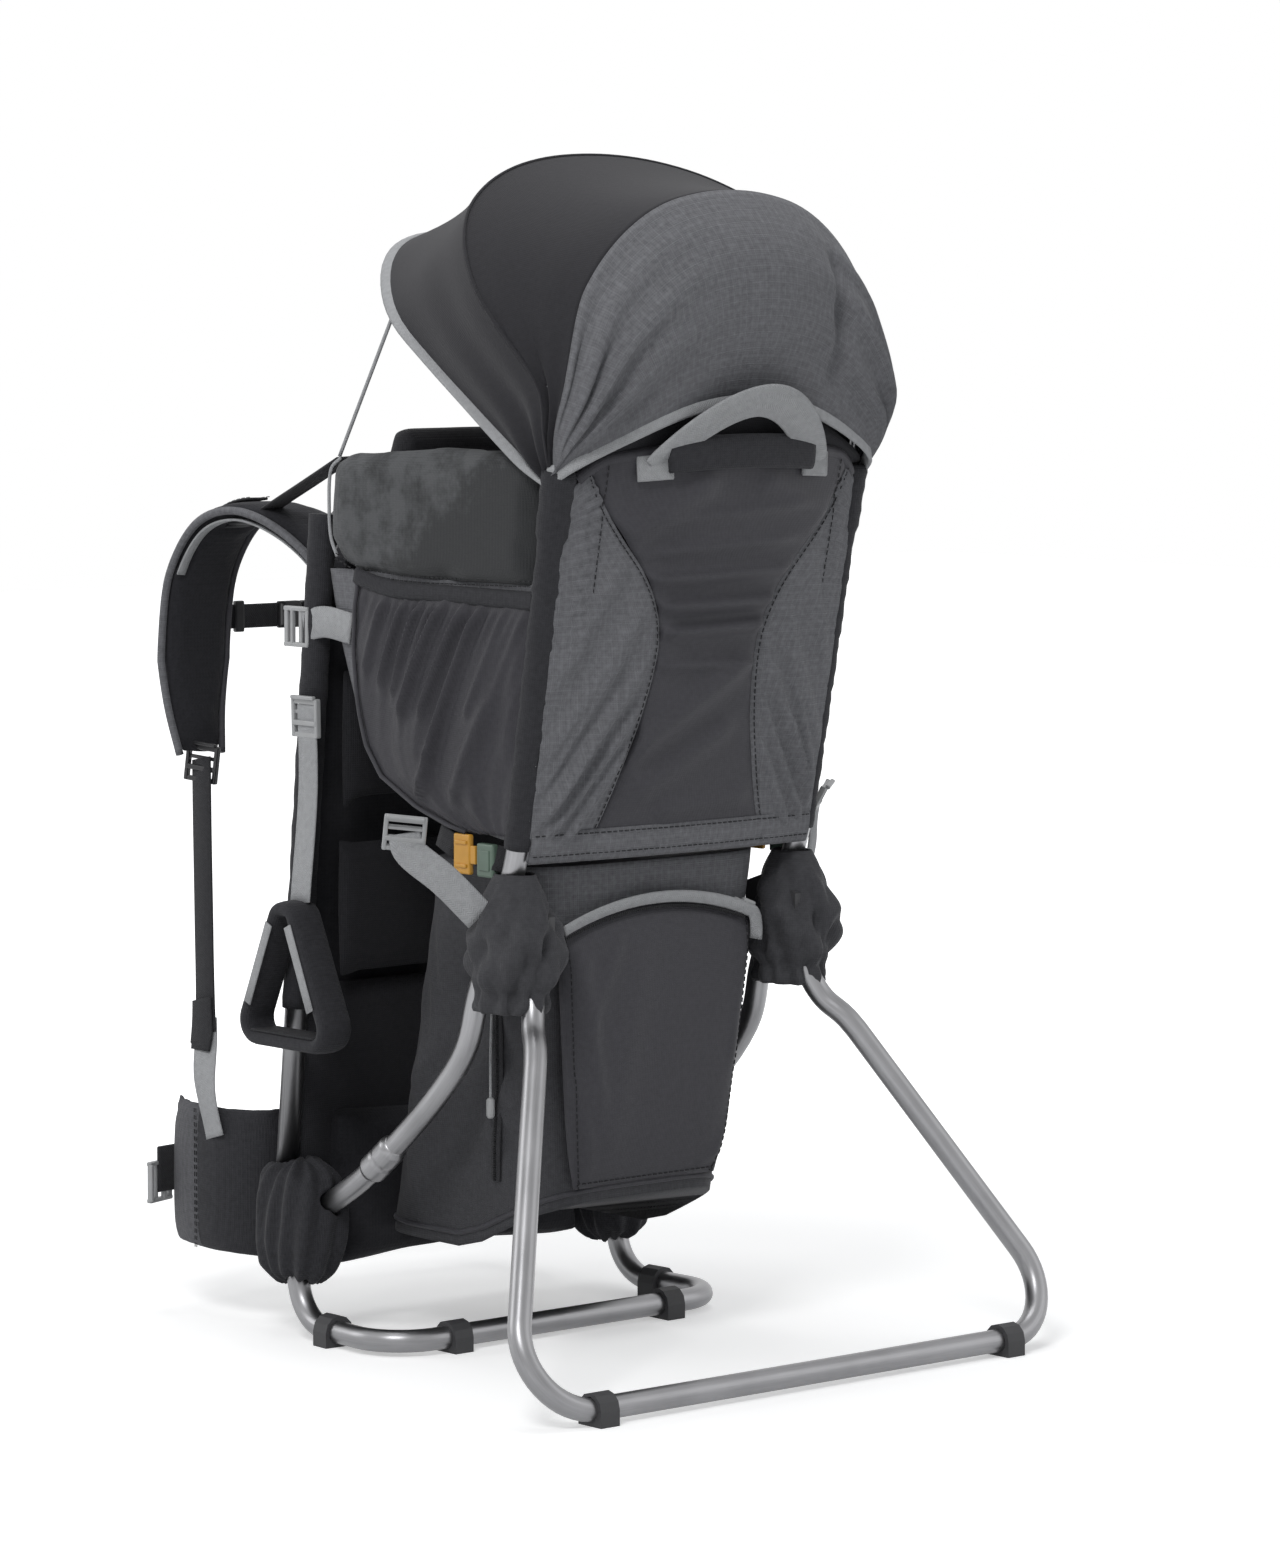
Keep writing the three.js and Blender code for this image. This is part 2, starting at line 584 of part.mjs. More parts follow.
const panelBaseZ = BAG_TOP_Z + 7;
const rearPanelCloth = (room) => shaped(8, 1, 5, (u, v, w) => {
  const t = (w + 1) / 2;
  const x = u * lerp(PANEL_BASE_HALF, PANEL_TOP_HALF, t);
  const z = lerp(panelBaseZ, PANEL_TOP_Z, t) + PANEL_CREST * (1 - u * u) * t;
  return vec(x, lerp(rearFace(x, z) - room, rearFace(x, z) + PANEL_T, (1 + v) / 2), z);
});
const hemCord = tube(rearHem, 4, 8);
const panelCut = cut(rearPanelCloth(0), sideClear, mirrored(sideClear), socketClear, mirrored(socketClear),
  poleClear, hemCord);
add('rear_panel', panelCut, ripstop);

/** The wall behind the wearer: cloth between the side walls, padded over the frame bar. */
const frontWallTopZ = 626;
const frontWallBaseZ = 258;
const frontWallY = (z) => uprightAt(z).y - TUBE_R - 0.5;
const frontWall = shaped(1, 1, 1, (u, v, w) => {
  const z = w > 0 ? frontWallTopZ : frontWallBaseZ;
  return vec(u * (wallIn - GAP), frontWallY(z) - (1 - v) / 2 * FRONT_WALL_T, z);
});
const padY = BACK_TOP_Y;
const padHalf = 74;           // half the width of the pad in front of the child
const chinPad = slabX([
  [padY - 22, 616], [padY + 18, 616], [padY + 18, 700],
  [padY + 8, 724], [padY - 8, 728], [padY - 20, 716],
], -padHalf, padHalf, 6);
add('cabin_front_wall', cut(join(frontWall, chinPad), backClear), smoothCloth);

const handleSpan = 84;        // half the distance between the handle's ends
const handleRise = 58;
const handleBand = 20;        // width of the handle's webbing
const handleT = 3;
const handleZ = PANEL_TOP_Z - 8;
const handleLean = vec(0, -0.58, 0.81);
add('grab_handle', cut(shaped(14, 1, 1, (u, v, w) => {
  const along = Math.PI / 2 * u;
  const middle = vec(handleSpan * Math.sin(along), rearFace(handleSpan, handleZ) + 2, handleZ);
  middle.addScaledVector(handleLean, handleRise * Math.cos(along) ** 0.8 * 1.2);
  const outward = handleLean.clone().multiplyScalar(Math.cos(along));
  outward.add(vec(Math.sin(along), 0, 0)).normalize();
  const run = vec(Math.cos(along), 0, 0).addScaledVector(handleLean, -Math.sin(along));
  const facing = outward.clone().cross(run).normalize();
  return middle.addScaledVector(outward, v * handleBand / 2).addScaledVector(facing, -w * handleT / 2);
}), rearPanelCloth(GAP), tube(rearHem, CLOTH_T + 2, 8)), greyWebbing);

// ---- Child's seat and harness -----------------------------------------------------------

const seatBackY = (z) => frontWallY(z) - FRONT_WALL_T - GAP;
const seatTopZ = 525;
const seatHalf = 52;          // half the width of the seat
const seatSling = slabX([
  [seatBackY(404), 404], [seatBackY(seatTopZ), seatTopZ], [seatBackY(seatTopZ) - 12, seatTopZ],
  [seatBackY(450) - 20, 448], [70, 436], [0, 432], [-40, 440],
  [-48, 430], [-40, 410], [0, 402], [60, 400],
], -seatHalf, seatHalf, 4);
const harnessTopZ = 570;
const harnessStrap = shaped(1, 1, 1, (u, v, w) => {
  const z = w > 0 ? harnessTopZ : seatTopZ - 12;
  return vec(32 + u * 14, seatBackY(z) - (1 - v) / 2 * 7, z);
});
const harnessBridge = shaped(1, 1, 1, (u, v, w) => {
  const z = harnessTopZ - 24 + w * 12;
  return vec(u * 36, seatBackY(z) - 1 - (1 - v) / 2 * 10, z);
});
add('child_seat', join(seatSling, harnessStrap, mirrored(harnessStrap), harnessBridge), velour);

// ---- Storage bag ------------------------------------------------------------------------

const lumbarRearY = 146;
const bagRear = (t) => lerp(BAG_REAR_Y + 8, BAG_REAR_Y - 8, t);
const bagFront = (t) => lerp(lumbarRearY - GAP, BAG_FRONT_Y - 6, t);
const bagBase = (y) => BAG_BASE_Z + 46 * Math.max(0, (20 - y) / 100);
const bag = shaped(2, 3, 3, (u, v, w) => {
  const t = (w + 1) / 2;
  const y = lerp(bagRear(t), bagFront(t), (v + 1) / 2);
  const z = lerp(bagBase(lerp(bagRear(0), bagFront(0), (v + 1) / 2)), BAG_TOP_Z, t);
  return vec(u * lerp(BAG_BASE_HALF, BAG_HALF, t), y, z);
});
const bonnetClear = lump(bonnetCentre, bonnetHalf.clone().addScalar(GAP + 0.2));
const legSweepClear = legSweep(LEG_TOP_HALF - TUBE_R - 2, LEG_TOP_HALF + 40, 120);
const bagCutters = [bonnetClear, legSweepClear];
add('storage_bag', cut(bag, ...bagCutters, ...bagCutters.map(mirrored)), ripstop);

const zipRadius = 255;        // the zip over the lower pocket is an arc of this radius
const zipTopZ = 356;
const zipRise = (x) => zipTopZ - zipRadius + Math.sqrt(zipRadius ** 2 - x ** 2);
const pocketBaseZ = 136;
const bagFace = (z) => bagRear((z - bagBase(-80)) / (BAG_TOP_Z - bagBase(-80)));
add('lower_pocket', shaped(6, 1, 2, (u, v, w) => {
  const t = (w + 1) / 2;
  const x = u * lerp(78, 98, t);
  const z = lerp(pocketBaseZ, zipRise(x), t);
  const depth = POCKET_DEPTH * (1 - 0.3 * Math.abs(u));
  return vec(x, bagFace(z) - GAP - (1 - v) / 2 * depth, z);
}), smoothCloth);
const sliderX = 90;           // rest place of the slider along the zip
const sliderHalf = 7;         // half its length
const sliderT = 6.8;
const sliderZ = zipRise(sliderX) + 9;
const sliderY = bagFace(sliderZ + 5) - GAP;
const slider = block(
  sliderX - sliderHalf, sliderX + sliderHalf,
  sliderY - sliderT - 0.2, sliderY - 0.2,
  sliderZ - 5, sliderZ + 5,
);
add('zip_slider', slider, greyPlastic);

// ---- Hip belt ---------------------------------------------------------------------------

const bootClear = lump(bootCentre, bootHalf.clone().addScalar(GAP + 0.2));
const lumbar = shaped(4, 2, 2, (u, v, w) => {
  const soft = 1 - 0.08 * v * v * w * w;
  const z = lerp(46, 184, (w * soft + 1) / 2);
  const y = v < 0 ? lumbarRearY : lerp(lumbarRearY, 206 - 8 * u * u, (v + 1) / 2);
  return vec(u * 128, y, z);
});
add('lumbar_pad', cut(lumbar, bootClear, mirrored(bootClear), backClear), darkCloth);

const wingLine = smooth([
  vec(126, 201.2, 0), vec(150, 210, 0), vec(WING_HALF + 6, 242, 0),
  vec(WING_HALF + 4, 284, 0), vec(WING_HALF - 8, WING_FRONT_Y, 0),
], 8);
const wingRoute = new Route(wingLine);
addPair('belt_wing', shaped(8, 1, 2, (u, v, w) => {
  const t = (u + 1) / 2;
  const out = wingRoute.getTangentAt(t).cross(vec(0, 0, 1)).normalize();
  const thick = WING_T * Math.min(1, 0.3 + 3 * t) / 2;
  const z = lerp(lerp(WING_BASE_Z, WING_BASE_Z + 4, t), lerp(WING_TOP_Z, WING_TOP_Z - 4, t), (w + 1) / 2);
  const p = wingRoute.getPoint(t);
  return vec(p.x - out.x * v * thick, p.y - out.y * v * thick, z);
}), darkCloth);

/** A side-release buckle along +X: its socket, and its clip with the tongue inside. */
function sideRelease(scale) {
  const socketBody = block(-17 * scale, 0, -3.5 * scale, 3.5 * scale, -11 * scale, 11 * scale);
  const well = block(-13 * scale, 1, -1.6 * scale - GAP, 1.6 * scale + GAP, -8 * scale, 8 * scale);
  const clipBody = block(GAP, 12 * scale, -3.5 * scale, 3.5 * scale, -11 * scale, 11 * scale);
  const tongue = block(-12 * scale, 2, -1.6 * scale, 1.6 * scale, -8 * scale + GAP, 8 * scale - GAP);
  return [cut(socketBody, well), join(clipBody, tongue)];
}

/** A piece made along +X, turned about Z and X and put in its place. */
function placed(geometry, spot, aboutZ = 0, aboutX = 0) {
  return geometry.rotateX(aboutX).rotateZ(aboutZ).translate(spot.x, spot.y, spot.z);
}

/** Webbing that lies flat in the plane of X and Z, between two places along X. */
const webbing = (x0, x1, width) => block(x0, x1, -WEB_T / 2, WEB_T / 2, -width / 2, width / 2);

const beltScale = 1.7;
const beltZ = 114;
const beltWebW = 38;
const beltSlant = 0.16;       // how the belt's webbing runs forward towards the buckle, in radians
const beltFrontY = WING_FRONT_Y + 27;
const [beltSocketBody, beltClipBody] = sideRelease(beltScale);
const beltReach = WING_HALF - 2;
const socketWeb = placed(webbing(-beltReach, 0, beltWebW), vec(-16.5 * beltScale, 0, 0), beltSlant);
const clipWeb = placed(webbing(0, beltReach - 6, beltWebW), vec(11.5 * beltScale, 0, 0), -beltSlant);
const beltSocket = join(beltSocketBody, socketWeb);
const beltClip = join(beltClipBody, clipWeb);

const beltSpot = vec(0, beltFrontY, beltZ);
add('belt_strap', placed(beltSocket, beltSpot), blackWebbing);
add('belt_clip', placed(beltClip, beltSpot), blackPlastic);

// ---- Wearer's harness -------------------------------------------------------------------

const backPadFace = (z) => uprightAt(z).y + TUBE_R + 0.5;
const backPadTopZ = 612;
const backPadBaseZ = 188;
add('back_pad', shaped(3, 1, 3, (u, v, w) => {
  const z = lerp(backPadBaseZ, backPadTopZ, (w + 1) / 2);
  const x = u * (uprightAt(z).x - 1);
  return vec(x, backPadFace(z) + (v + 1) / 2 * (BACK_PAD_T - (u * u > 0.9 ? 5 : 0)), z);
}), darkCloth);

const strapRootZ = 556;
const strapRootY = backPadFace(strapRootZ) + BACK_PAD_T + GAP + STRAP_T / 2;
const strapLine = smooth([
  vec(70, strapRootY + 0.6, strapRootZ), vec(74, strapRootY + 9, 600), vec(84, 226, 634), vec(98, 274, 652),
  vec(106, 314, 642), vec(STRAP_HALF, 344, 602), vec(STRAP_HALF + 2, 354, 546), vec(STRAP_HALF + 8, 346, 492),
  vec(STRAP_HALF + 14, 330, 452),
], 12);
const strapRoute = new Route(strapLine);
const shoulderStrap = (room) => shaped(12, 1, 1, (u, v, w) => {
  const t = (u + 1) / 2;
  const out = strapRoute.getTangentAt(t).cross(vec(1, 0, 0)).normalize();
  const width = STRAP_W * (1 - 0.35 * Math.max(0, t - 0.8) / 0.2);
  const p = strapRoute.getPoint(t).add(vec(v * width / 2, 0, 0));
  return p.addScaledVector(out, w * (STRAP_T / 2 * (t > 0.95 ? 0.6 : 1) + room));
});
addPair('shoulder_strap', shoulderStrap(0), darkCloth);

const chestZ = 560;
const chestFrontY = 362.2;
const chestReach = STRAP_HALF + 16;
const [chestSocket, chestClip] = sideRelease(1);
const chestSpot = vec(0, chestFrontY, chestZ);
add('chest_strap', placed(join(chestSocket, webbing(-chestReach, -16, WEB_NARROW)), chestSpot), blackWebbing);
add('chest_clip', placed(join(chestClip, webbing(11, chestReach, WEB_NARROW)), chestSpot), blackPlastic);

const strapEnd = strapLine.at(-1);
const wingOuterX = WING_HALF + 7 + WING_T / 2 + GAP + WEB_T / 2;
const webbingRun = [
  strapEnd.clone().add(vec(0, -2, -3.2)), vec(STRAP_HALF + 22, 318, 400), vec(STRAP_HALF + 34, 300, 310),
  vec(STRAP_HALF + 46, 282, 236), vec(wingOuterX, 256, WING_TOP_Z + 8), vec(wingOuterX, 244, WING_TOP_Z - 34),
];
addPair('strap_webbing', strap(webbingRun, vec(0, 1, 0.2), WEB_W, WEB_T), blackWebbing);

const lifterTop = strapRoute.getPoint(0.44).add(vec(0, -4, STRAP_T / 2 + 3.2));
const lifterFoot = vec(94, BACK_TOP_Y + TUBE_R - 1, BACK_TOP_Z + 3);
const lifterRun = [lifterFoot, lifterFoot.clone().lerp(lifterTop, 0.5), lifterTop];
const lifter = strap(lifterRun, vec(1, 0, 0), WEB_NARROW, WEB_T + 1);
addPair('load_lifter', cut(lifter, backClear, shoulderStrap(GAP)), blackWebbing);

// ---- Side entry buckles and compression straps ------------------------------------------

const entryZ = 400;
const entryX = WALL_OUT + 2;
const [entrySocketBody, entryClipBody] = sideRelease(1.1);
const entrySpot = vec(entryX, -58, entryZ);
const entryTurn = Math.PI / 2;
const entryWebRun = [vec(-16, 0, 0), vec(-24, 1, -3), vec(-36, 4, -12)];
const entryTailRun = [vec(12, 0, 0), vec(22, 0, 2), vec(32, 0, 6)];
const entryWeb = strap(entryWebRun, vec(0, 0.25, 1), WEB_NARROW, WEB_T);
const entryTail = strap(entryTailRun, vec(0, 0, 1), WEB_NARROW, WEB_T);
addPair('entry_clip', placed(join(entryClipBody, entryTail), entrySpot, entryTurn), amberPlastic);

const wingBuckle = vec(212, -48, 420);
const wingFoot = vec(LEG_TOP_HALF + 22, HINGE_Y + 22, HINGE_Z + 22);
const wingMiddle = wingFoot.clone().lerp(wingBuckle, 0.5).add(vec(6, 4, -8));
const wingTop = wingBuckle.clone().add(vec(-2, 0, -10));
const wingBand = strap([wingFoot, wingMiddle, wingTop], vec(0.55, -0.8, 0.1), WEB_W, WEB_T);
const wingPlate = cut(block(-6, 6, -15, 15, -13, 13), block(-8, 8, -10, 10, -3, 7));
const entrySocket = placed(join(entrySocketBody, entryWeb), entrySpot, entryTurn);
addPair('entry_socket', cut(entrySocket, sideClear, bonnetClear), greenPlastic);
const coverWithStrap = join(bonnetCut, wingBand, placed(wingPlate, wingBuckle, -0.5));
addPair('hinge_cover', cut(coverWithStrap, hingeBlockClear, sideClear), darkCloth);

// ---- Stirrups ---------------------------------------------------------------------------

const stirrupY = 122;
const stirrupHalf = uprightAt(STIRRUP_SOLE_Z).x + TUBE_R + STIRRUP_CLEAR + STIRRUP_W / 2;
const stirrupWebX = uprightAt(470).x + TUBE_R + 1.8;
const stirrupWebTop = vec(stirrupWebX, 140, 500);
const stirrupWebMiddle = vec(stirrupWebX + 3, 136, 440);
const stirrupWebFoot = vec(stirrupHalf - 4, stirrupY + 2, STIRRUP_TOP_Z - 6);
const stirrupWeb = strap([stirrupWebTop, stirrupWebMiddle, stirrupWebFoot], vec(0, 1, 0.1), WEB_W, WEB_T);
const loopH = STIRRUP_TOP_Z - STIRRUP_SOLE_Z;
const loopOuter = [[-62, 0], [62, 0], [66, 8], [12, loopH], [-12, loopH], [-66, 8]];
const loopInner = [[-50, 8], [50, 8], [6, loopH - 12], [-6, loopH - 12]];
const inStirrup = (pairs) => pairs.map(([y, z]) => [y + stirrupY + 4, z + STIRRUP_SOLE_Z]);
const loopX0 = stirrupHalf - STIRRUP_W / 2;
const stirrupLoop = cut(
  slabX(inStirrup(loopOuter), loopX0, loopX0 + STIRRUP_W),
  slabX(inStirrup(loopInner), loopX0 - 1, loopX0 + STIRRUP_W + 1),
);
addPair('stirrup', join(stirrupLoop, stirrupWeb), darkCloth);

// ---- Side zip pull ----------------------------------------------------------------------

const pullX = -(lerp(BAG_BASE_HALF, BAG_HALF, 0.55) + 3);
const pullRun = [
  vec(pullX, -33, 274), vec(pullX - 0.5, -32, 250), vec(pullX, -31, 222), vec(pullX + 1, -31, 200),
];
const pullBead = tube([vec(pullX + 1, -31, 206), vec(pullX + 1.5, -31, 190)], 3.5, 8);
add('side_zip_pull', join(tube(pullRun, 1.2, 8), pullBead), blackWebbing);

// ---- Row frame: centre of the base, on the floor ----------------------------------------

const box = new THREE.Box3().setFromObject(pack);
const shift = vec(-(box.min.x + box.max.x) / 2, -(box.min.y + box.max.y) / 2, -box.min.z);
pack.position.copy(shift);

export default pack;
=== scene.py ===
"""Looks of a child carrier backpack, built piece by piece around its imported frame.

Places are given by the frame's own plan, in millimetres with +Y the way the wearer faces, and are
turned into scene metres by ``at``. Cloth, padding, webbing, tubes and buckles are modelled here; the
feet, pins and brackets are the frame's own meshes.
"""
from __future__ import annotations

import json
import logging
from dataclasses import dataclass
from enum import Enum
from itertools import accumulate
from math import asin, atan2, copysign, cos, dist, exp, hypot, pi, radians, sin, sqrt, tan
from typing import Callable, Iterable, Optional, Sequence, Union

import bmesh
import bpy
import numpy as np
from mathutils import Matrix, Vector


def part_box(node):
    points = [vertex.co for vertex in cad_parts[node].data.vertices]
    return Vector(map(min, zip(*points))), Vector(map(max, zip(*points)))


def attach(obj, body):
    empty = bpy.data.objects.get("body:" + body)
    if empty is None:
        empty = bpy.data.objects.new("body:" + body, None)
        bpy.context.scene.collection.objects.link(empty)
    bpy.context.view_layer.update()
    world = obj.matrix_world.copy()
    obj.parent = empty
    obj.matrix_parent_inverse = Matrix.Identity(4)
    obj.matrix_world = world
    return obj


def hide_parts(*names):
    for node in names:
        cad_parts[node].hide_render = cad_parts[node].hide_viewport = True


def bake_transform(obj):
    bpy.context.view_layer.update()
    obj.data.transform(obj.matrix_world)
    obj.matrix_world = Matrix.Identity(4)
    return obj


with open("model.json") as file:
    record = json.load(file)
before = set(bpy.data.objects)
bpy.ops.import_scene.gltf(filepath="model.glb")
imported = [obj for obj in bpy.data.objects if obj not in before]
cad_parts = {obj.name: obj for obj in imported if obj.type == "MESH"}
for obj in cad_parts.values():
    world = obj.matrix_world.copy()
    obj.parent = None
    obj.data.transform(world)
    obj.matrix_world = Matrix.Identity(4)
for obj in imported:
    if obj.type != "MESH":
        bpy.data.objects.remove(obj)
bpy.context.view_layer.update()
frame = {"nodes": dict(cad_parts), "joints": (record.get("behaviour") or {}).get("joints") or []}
LOG = logging.getLogger("carrier")


# ---- The frame's plan, in millimetres ----

TUBE_R = 9.0
HINGE_PLAN = Vector((0, -104, 338))      # kickstand pivot in the plan
BASE_Z = 12.0                            # centre line of the floor tubes
JOINT_Z = 112.0
JOINT_Y = 139.6 + 0.268 * (JOINT_Z - BASE_Z)
UPRIGHT_FOOT = Vector((165, JOINT_Y, JOINT_Z))
UPRIGHT_TOP = Vector((142, 142, 665))
SIDE_FOOT = Vector((144, -100.6, 408))   # side tube's straight upper run
SIDE_TOP = Vector((147.5, -150.4, 672))
BOW_PIVOT = Vector((147.5, -167, 755))
WALL_OUT = 148.0
FOLD = next(j for j in frame["joints"] if j["name"] == "kickstand_fold")
SHIFT = Vector(FOLD["pos_m"]) - HINGE_PLAN / 1000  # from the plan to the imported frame, in metres

RIGHT, FORWARD, UP = (Vector(row) for row in ((1, 0, 0), (0, 1, 0), (0, 0, 1)))

Piece = bpy.types.Object
Finish = bpy.types.Material
Points = Sequence[Vector]
Coords = tuple[float, float]
Place = Callable[[float, float], Vector]
Rule = Callable[[Vector, Vector], float]
Across = Callable[[float, Vector], Vector]


def at(x: float, y: float, z: float) -> Vector:
    """A place of the plan as a place in the scene.

    Args:
        x, y, z: millimetres in the frame's plan.

    Returns:
        The point in the scene, in metres.
    """
    return Vector((x, y, z)) / 1000 + SHIFT


def there(p: Vector) -> Vector:
    """A plan vector as a scene point."""
    return at(p.x, p.y, p.z)


def lerp(a: float, b: float, t: float) -> float:
    """A value between two others."""
    return a + (b - a) * t


def clamp(t: float, low: float = 0.0, high: float = 1.0) -> float:
    """A value kept between two limits."""
    return max(low, min(high, t))


def hump(t: float) -> float:
    """A smooth rise from 0 to 1 and back, over 0 to 1."""
    return sin(pi * t)


def between_knots(knots: Sequence[Coords], t: float) -> float:
    """A value read off a line of knots, held beyond its ends.

    Args:
        knots: places in rising order, each with its value.
        t: the place.

    Returns:
        The value there.
    """
    for (t0, a), (t1, b) in zip(knots, knots[1:]):
        if t <= t1:
            return lerp(a, b, clamp((t - t0) / (t1 - t0)))
    return knots[-1][1]


def across(p: Vector) -> Vector:
    """The same place on the other side of the centre plane."""
    return Vector((-p.x, p.y, p.z))


def both(half: Points) -> list[Vector]:
    """A run of points and its mirror image, joined end to end."""
    return [*half, *[across(p) for p in reversed(half)]]


def upright(z: float) -> Vector:
    """Centre of the right upright at a height of the plan."""
    return UPRIGHT_FOOT.lerp(UPRIGHT_TOP, (z - JOINT_Z) / (UPRIGHT_TOP.z - JOINT_Z))


def side_tube(z: float) -> Vector:
    """Centre of the right side tube's upper run at a height of the plan."""
    return SIDE_FOOT.lerp(SIDE_TOP, (z - SIDE_FOOT.z) / (SIDE_TOP.z - SIDE_FOOT.z))


# ---- Lines ----

def bent(corners: Points, radii: Sequence[float], steps: int = 12) -> list[Vector]:
    """A polyline with its inner corners rounded by arcs.

    Args:
        corners: the polyline's corners.
        radii: one bend radius for each inner corner.
        steps: pieces in each arc.

    Returns:
        The rounded line's points.
    """
    points = [corners[0].copy()]
    for before, corner, after, radius in zip(corners, corners[1:], corners[2:], radii):
        back = (before - corner).normalized()
        on = (after - corner).normalized()
        half = back.angle(on) / 2
        start = corner + back * (radius / tan(half))
        centre = corner + (back + on).normalized() * (radius / sin(half))
        axis = back.cross(on).normalized()
        for k in range(steps + 1):
            turn = Matrix.Rotation(-(pi - 2 * half) * k / steps, 3, axis)
            points.append(centre + turn @ (start - centre))
    points.append(corners[-1].copy())
    return points


def smooth(points: Points, steps: int) -> list[Vector]:
    """A centripetal Catmull-Rom line through the given points, in a number of steps.

    Args:
        points: the points it passes through.
        steps: how many pieces it is made of.

    Returns:
        The line's points.
    """
    ends = [points[0] * 2 - points[1], *points, points[-1] * 2 - points[-2]]
    line = []
    for i in range(steps + 1):
        run = i / steps * (len(points) - 1)
        k = min(int(run), len(points) - 2)
        t = run - k
        p = ends[k:k + 4]
        knots = [0.0]
        for a, b in zip(p, p[1:]):
            knots.append(knots[-1] + max((b - a).length, 1e-6) ** 0.5)
        s = lerp(knots[1], knots[2], t)
        for row in ([(0, 1), (1, 2), (2, 3)], [(0, 2), (1, 3)], [(1, 2)]):
            shares = [(s - knots[low]) / (knots[high] - knots[low]) for low, high in row]
            p = [a.lerp(b, share) for a, b, share in zip(p, p[1:], shares)]
        line.append(p[0])
    return line


def runs_of(points: Points) -> list[float]:
    """How far along a polyline each of its points lies."""
    return list(accumulate([(b - a).length for a, b in zip(points, points[1:])], initial=0.0))


def resampled(points: Points, count: int) -> list[Vector]:
    """Points evenly spaced along a polyline.

    Args:
        points: the polyline.
        count: how many points to give.

    Returns:
        The points.
    """
    runs = runs_of(points)
    line = []
    k = 0
    for i in range(count):
        want = runs[-1] * i / (count - 1)
        while k < len(points) - 2 and runs[k + 1] < want:
            k += 1
        span = max(runs[k + 1] - runs[k], 1e-9)
        line.append(points[k].lerp(points[k + 1], clamp((want - runs[k]) / span)))
    return line


class Line:
    """A polyline that gives the place at a share of its length."""

    def __init__(self, points: Points, count: int = 96) -> None:
        """Spaces the points evenly."""
        self.points = resampled(points, count)

    def place(self, t: float) -> Vector:
        """The point at a share of the line, from 0 to 1."""
        run = clamp(t) * (len(self.points) - 1)
        k = min(int(run), len(self.points) - 2)
        return self.points[k].lerp(self.points[k + 1], run - k)

    def part(self, low: float, high: float, count: int = 24) -> list[Vector]:
        """Points of a stretch of the line."""
        return [self.place(lerp(low, high, i / (count - 1))) for i in range(count)]


# ---- Finishes ----

Colour = tuple[float, float, float]


class Weave(Enum):
    """How a cloth's surface is made."""

    PLAIN = "plain"
    RIPSTOP = "ripstop"
    MESH = "mesh"
    PILE = "pile"
    TAPE = "tape"


Socket = bpy.types.NodeSocket
Value = Union[Socket, float]


class Tree:
    """The node tree of a material or a world, with short ways to add to it."""

    def __init__(self, owner: bpy.types.ID) -> None:
        """Opens the tree.

        Args:
            owner: the new material or world.
        """
        owner.use_nodes = True
        self.material = owner
        self.nodes = owner.node_tree.nodes
        self.links = owner.node_tree.links
        self.shader = self.nodes.get("Principled BSDF")

    def node(self, kind: str, inputs: Optional[dict] = None, **settings: str) -> bpy.types.Node:
        """A new node.

        Args:
            kind: the node's type name.
            inputs: values or sockets for its inputs, by name or index.
            settings: its own properties.

        Returns:
            The node.
        """
        made = self.nodes.new(kind)
        for key, value in settings.items():
            setattr(made, key, value)
        for key, value in (inputs or {}).items():
            if isinstance(value, Socket):
                self.links.new(value, made.inputs[key])
            else:
                made.inputs[key].default_value = value
        return made

    def sum(self, operation: str, a: Value, b: Value = 0.0) -> Socket:
        """The result of one arithmetic step."""
        return self.node("ShaderNodeMath", {0: a, 1: b}, operation=operation).outputs[0]

    def plus(self, a: Value, b: Value) -> Socket:
        """One value added to another."""
        return self.sum("ADD", a, b)

    def times(self, a: Value, b: Value) -> Socket:
        """One value times another."""
        return self.sum("MULTIPLY", a, b)

    def noise(self, where: Value, size: float, detail: float = 2.0) -> Socket:
        """Noise with features of a size in metres."""
        inputs = {"Vector": where, "Scale": 1 / size, "Detail": detail}
        return self.node("ShaderNodeTexNoise", inputs).outputs["Fac"]

    def waves(self, value: Value, period: float) -> Socket:
        """A sine of a coordinate, once per period."""
        return self.sum("SINE", self.times(value, 2 * pi / period))

    def seen(self) -> Socket:
        """1 for what the camera sees, also in a mirror or through glass."""
        ray = self.node("ShaderNodeLightPath").outputs
        clear = self.sum("MAXIMUM", ray["Is Glossy Ray"], ray["Is Transmission Ray"])
        return self.sum("MAXIMUM", ray["Is Camera Ray"], clear)

    def tone(self, colour: Colour, by: Value, low: float, high: float) -> None:
        """Sets the base colour, shaded by a value.

        Args:
            colour: the colour.
            by: the value, from 0 to 1.
            low, high: the shares of the colour at 0 and 1.
        """
        ramp = self.node("ShaderNodeMapRange", {"Value": by, "To Min": low, "To Max": high})
        scaled = self.node("ShaderNodeVectorMath", {0: colour, "Scale": ramp.outputs[0]}, operation="SCALE")
        self.links.new(scaled.outputs[0], self.shader.inputs["Base Color"])

    def bump(self, height: Value, distance: float, strength: float = 0.6) -> None:
        """Gives the surface a relief, with its depth in metres."""
        relief = self.node("ShaderNodeBump", {"Height": height, "Distance": distance, "Strength": strength})
        self.links.new(relief.outputs[0], self.shader.inputs["Normal"])

    def set(self, **values: Union[float, tuple]) -> None:
        """Sets the shader's own values; an underscore in a name stands for a space."""
        for key, value in values.items():
            self.shader.inputs[key.replace("_", " ")].default_value = value


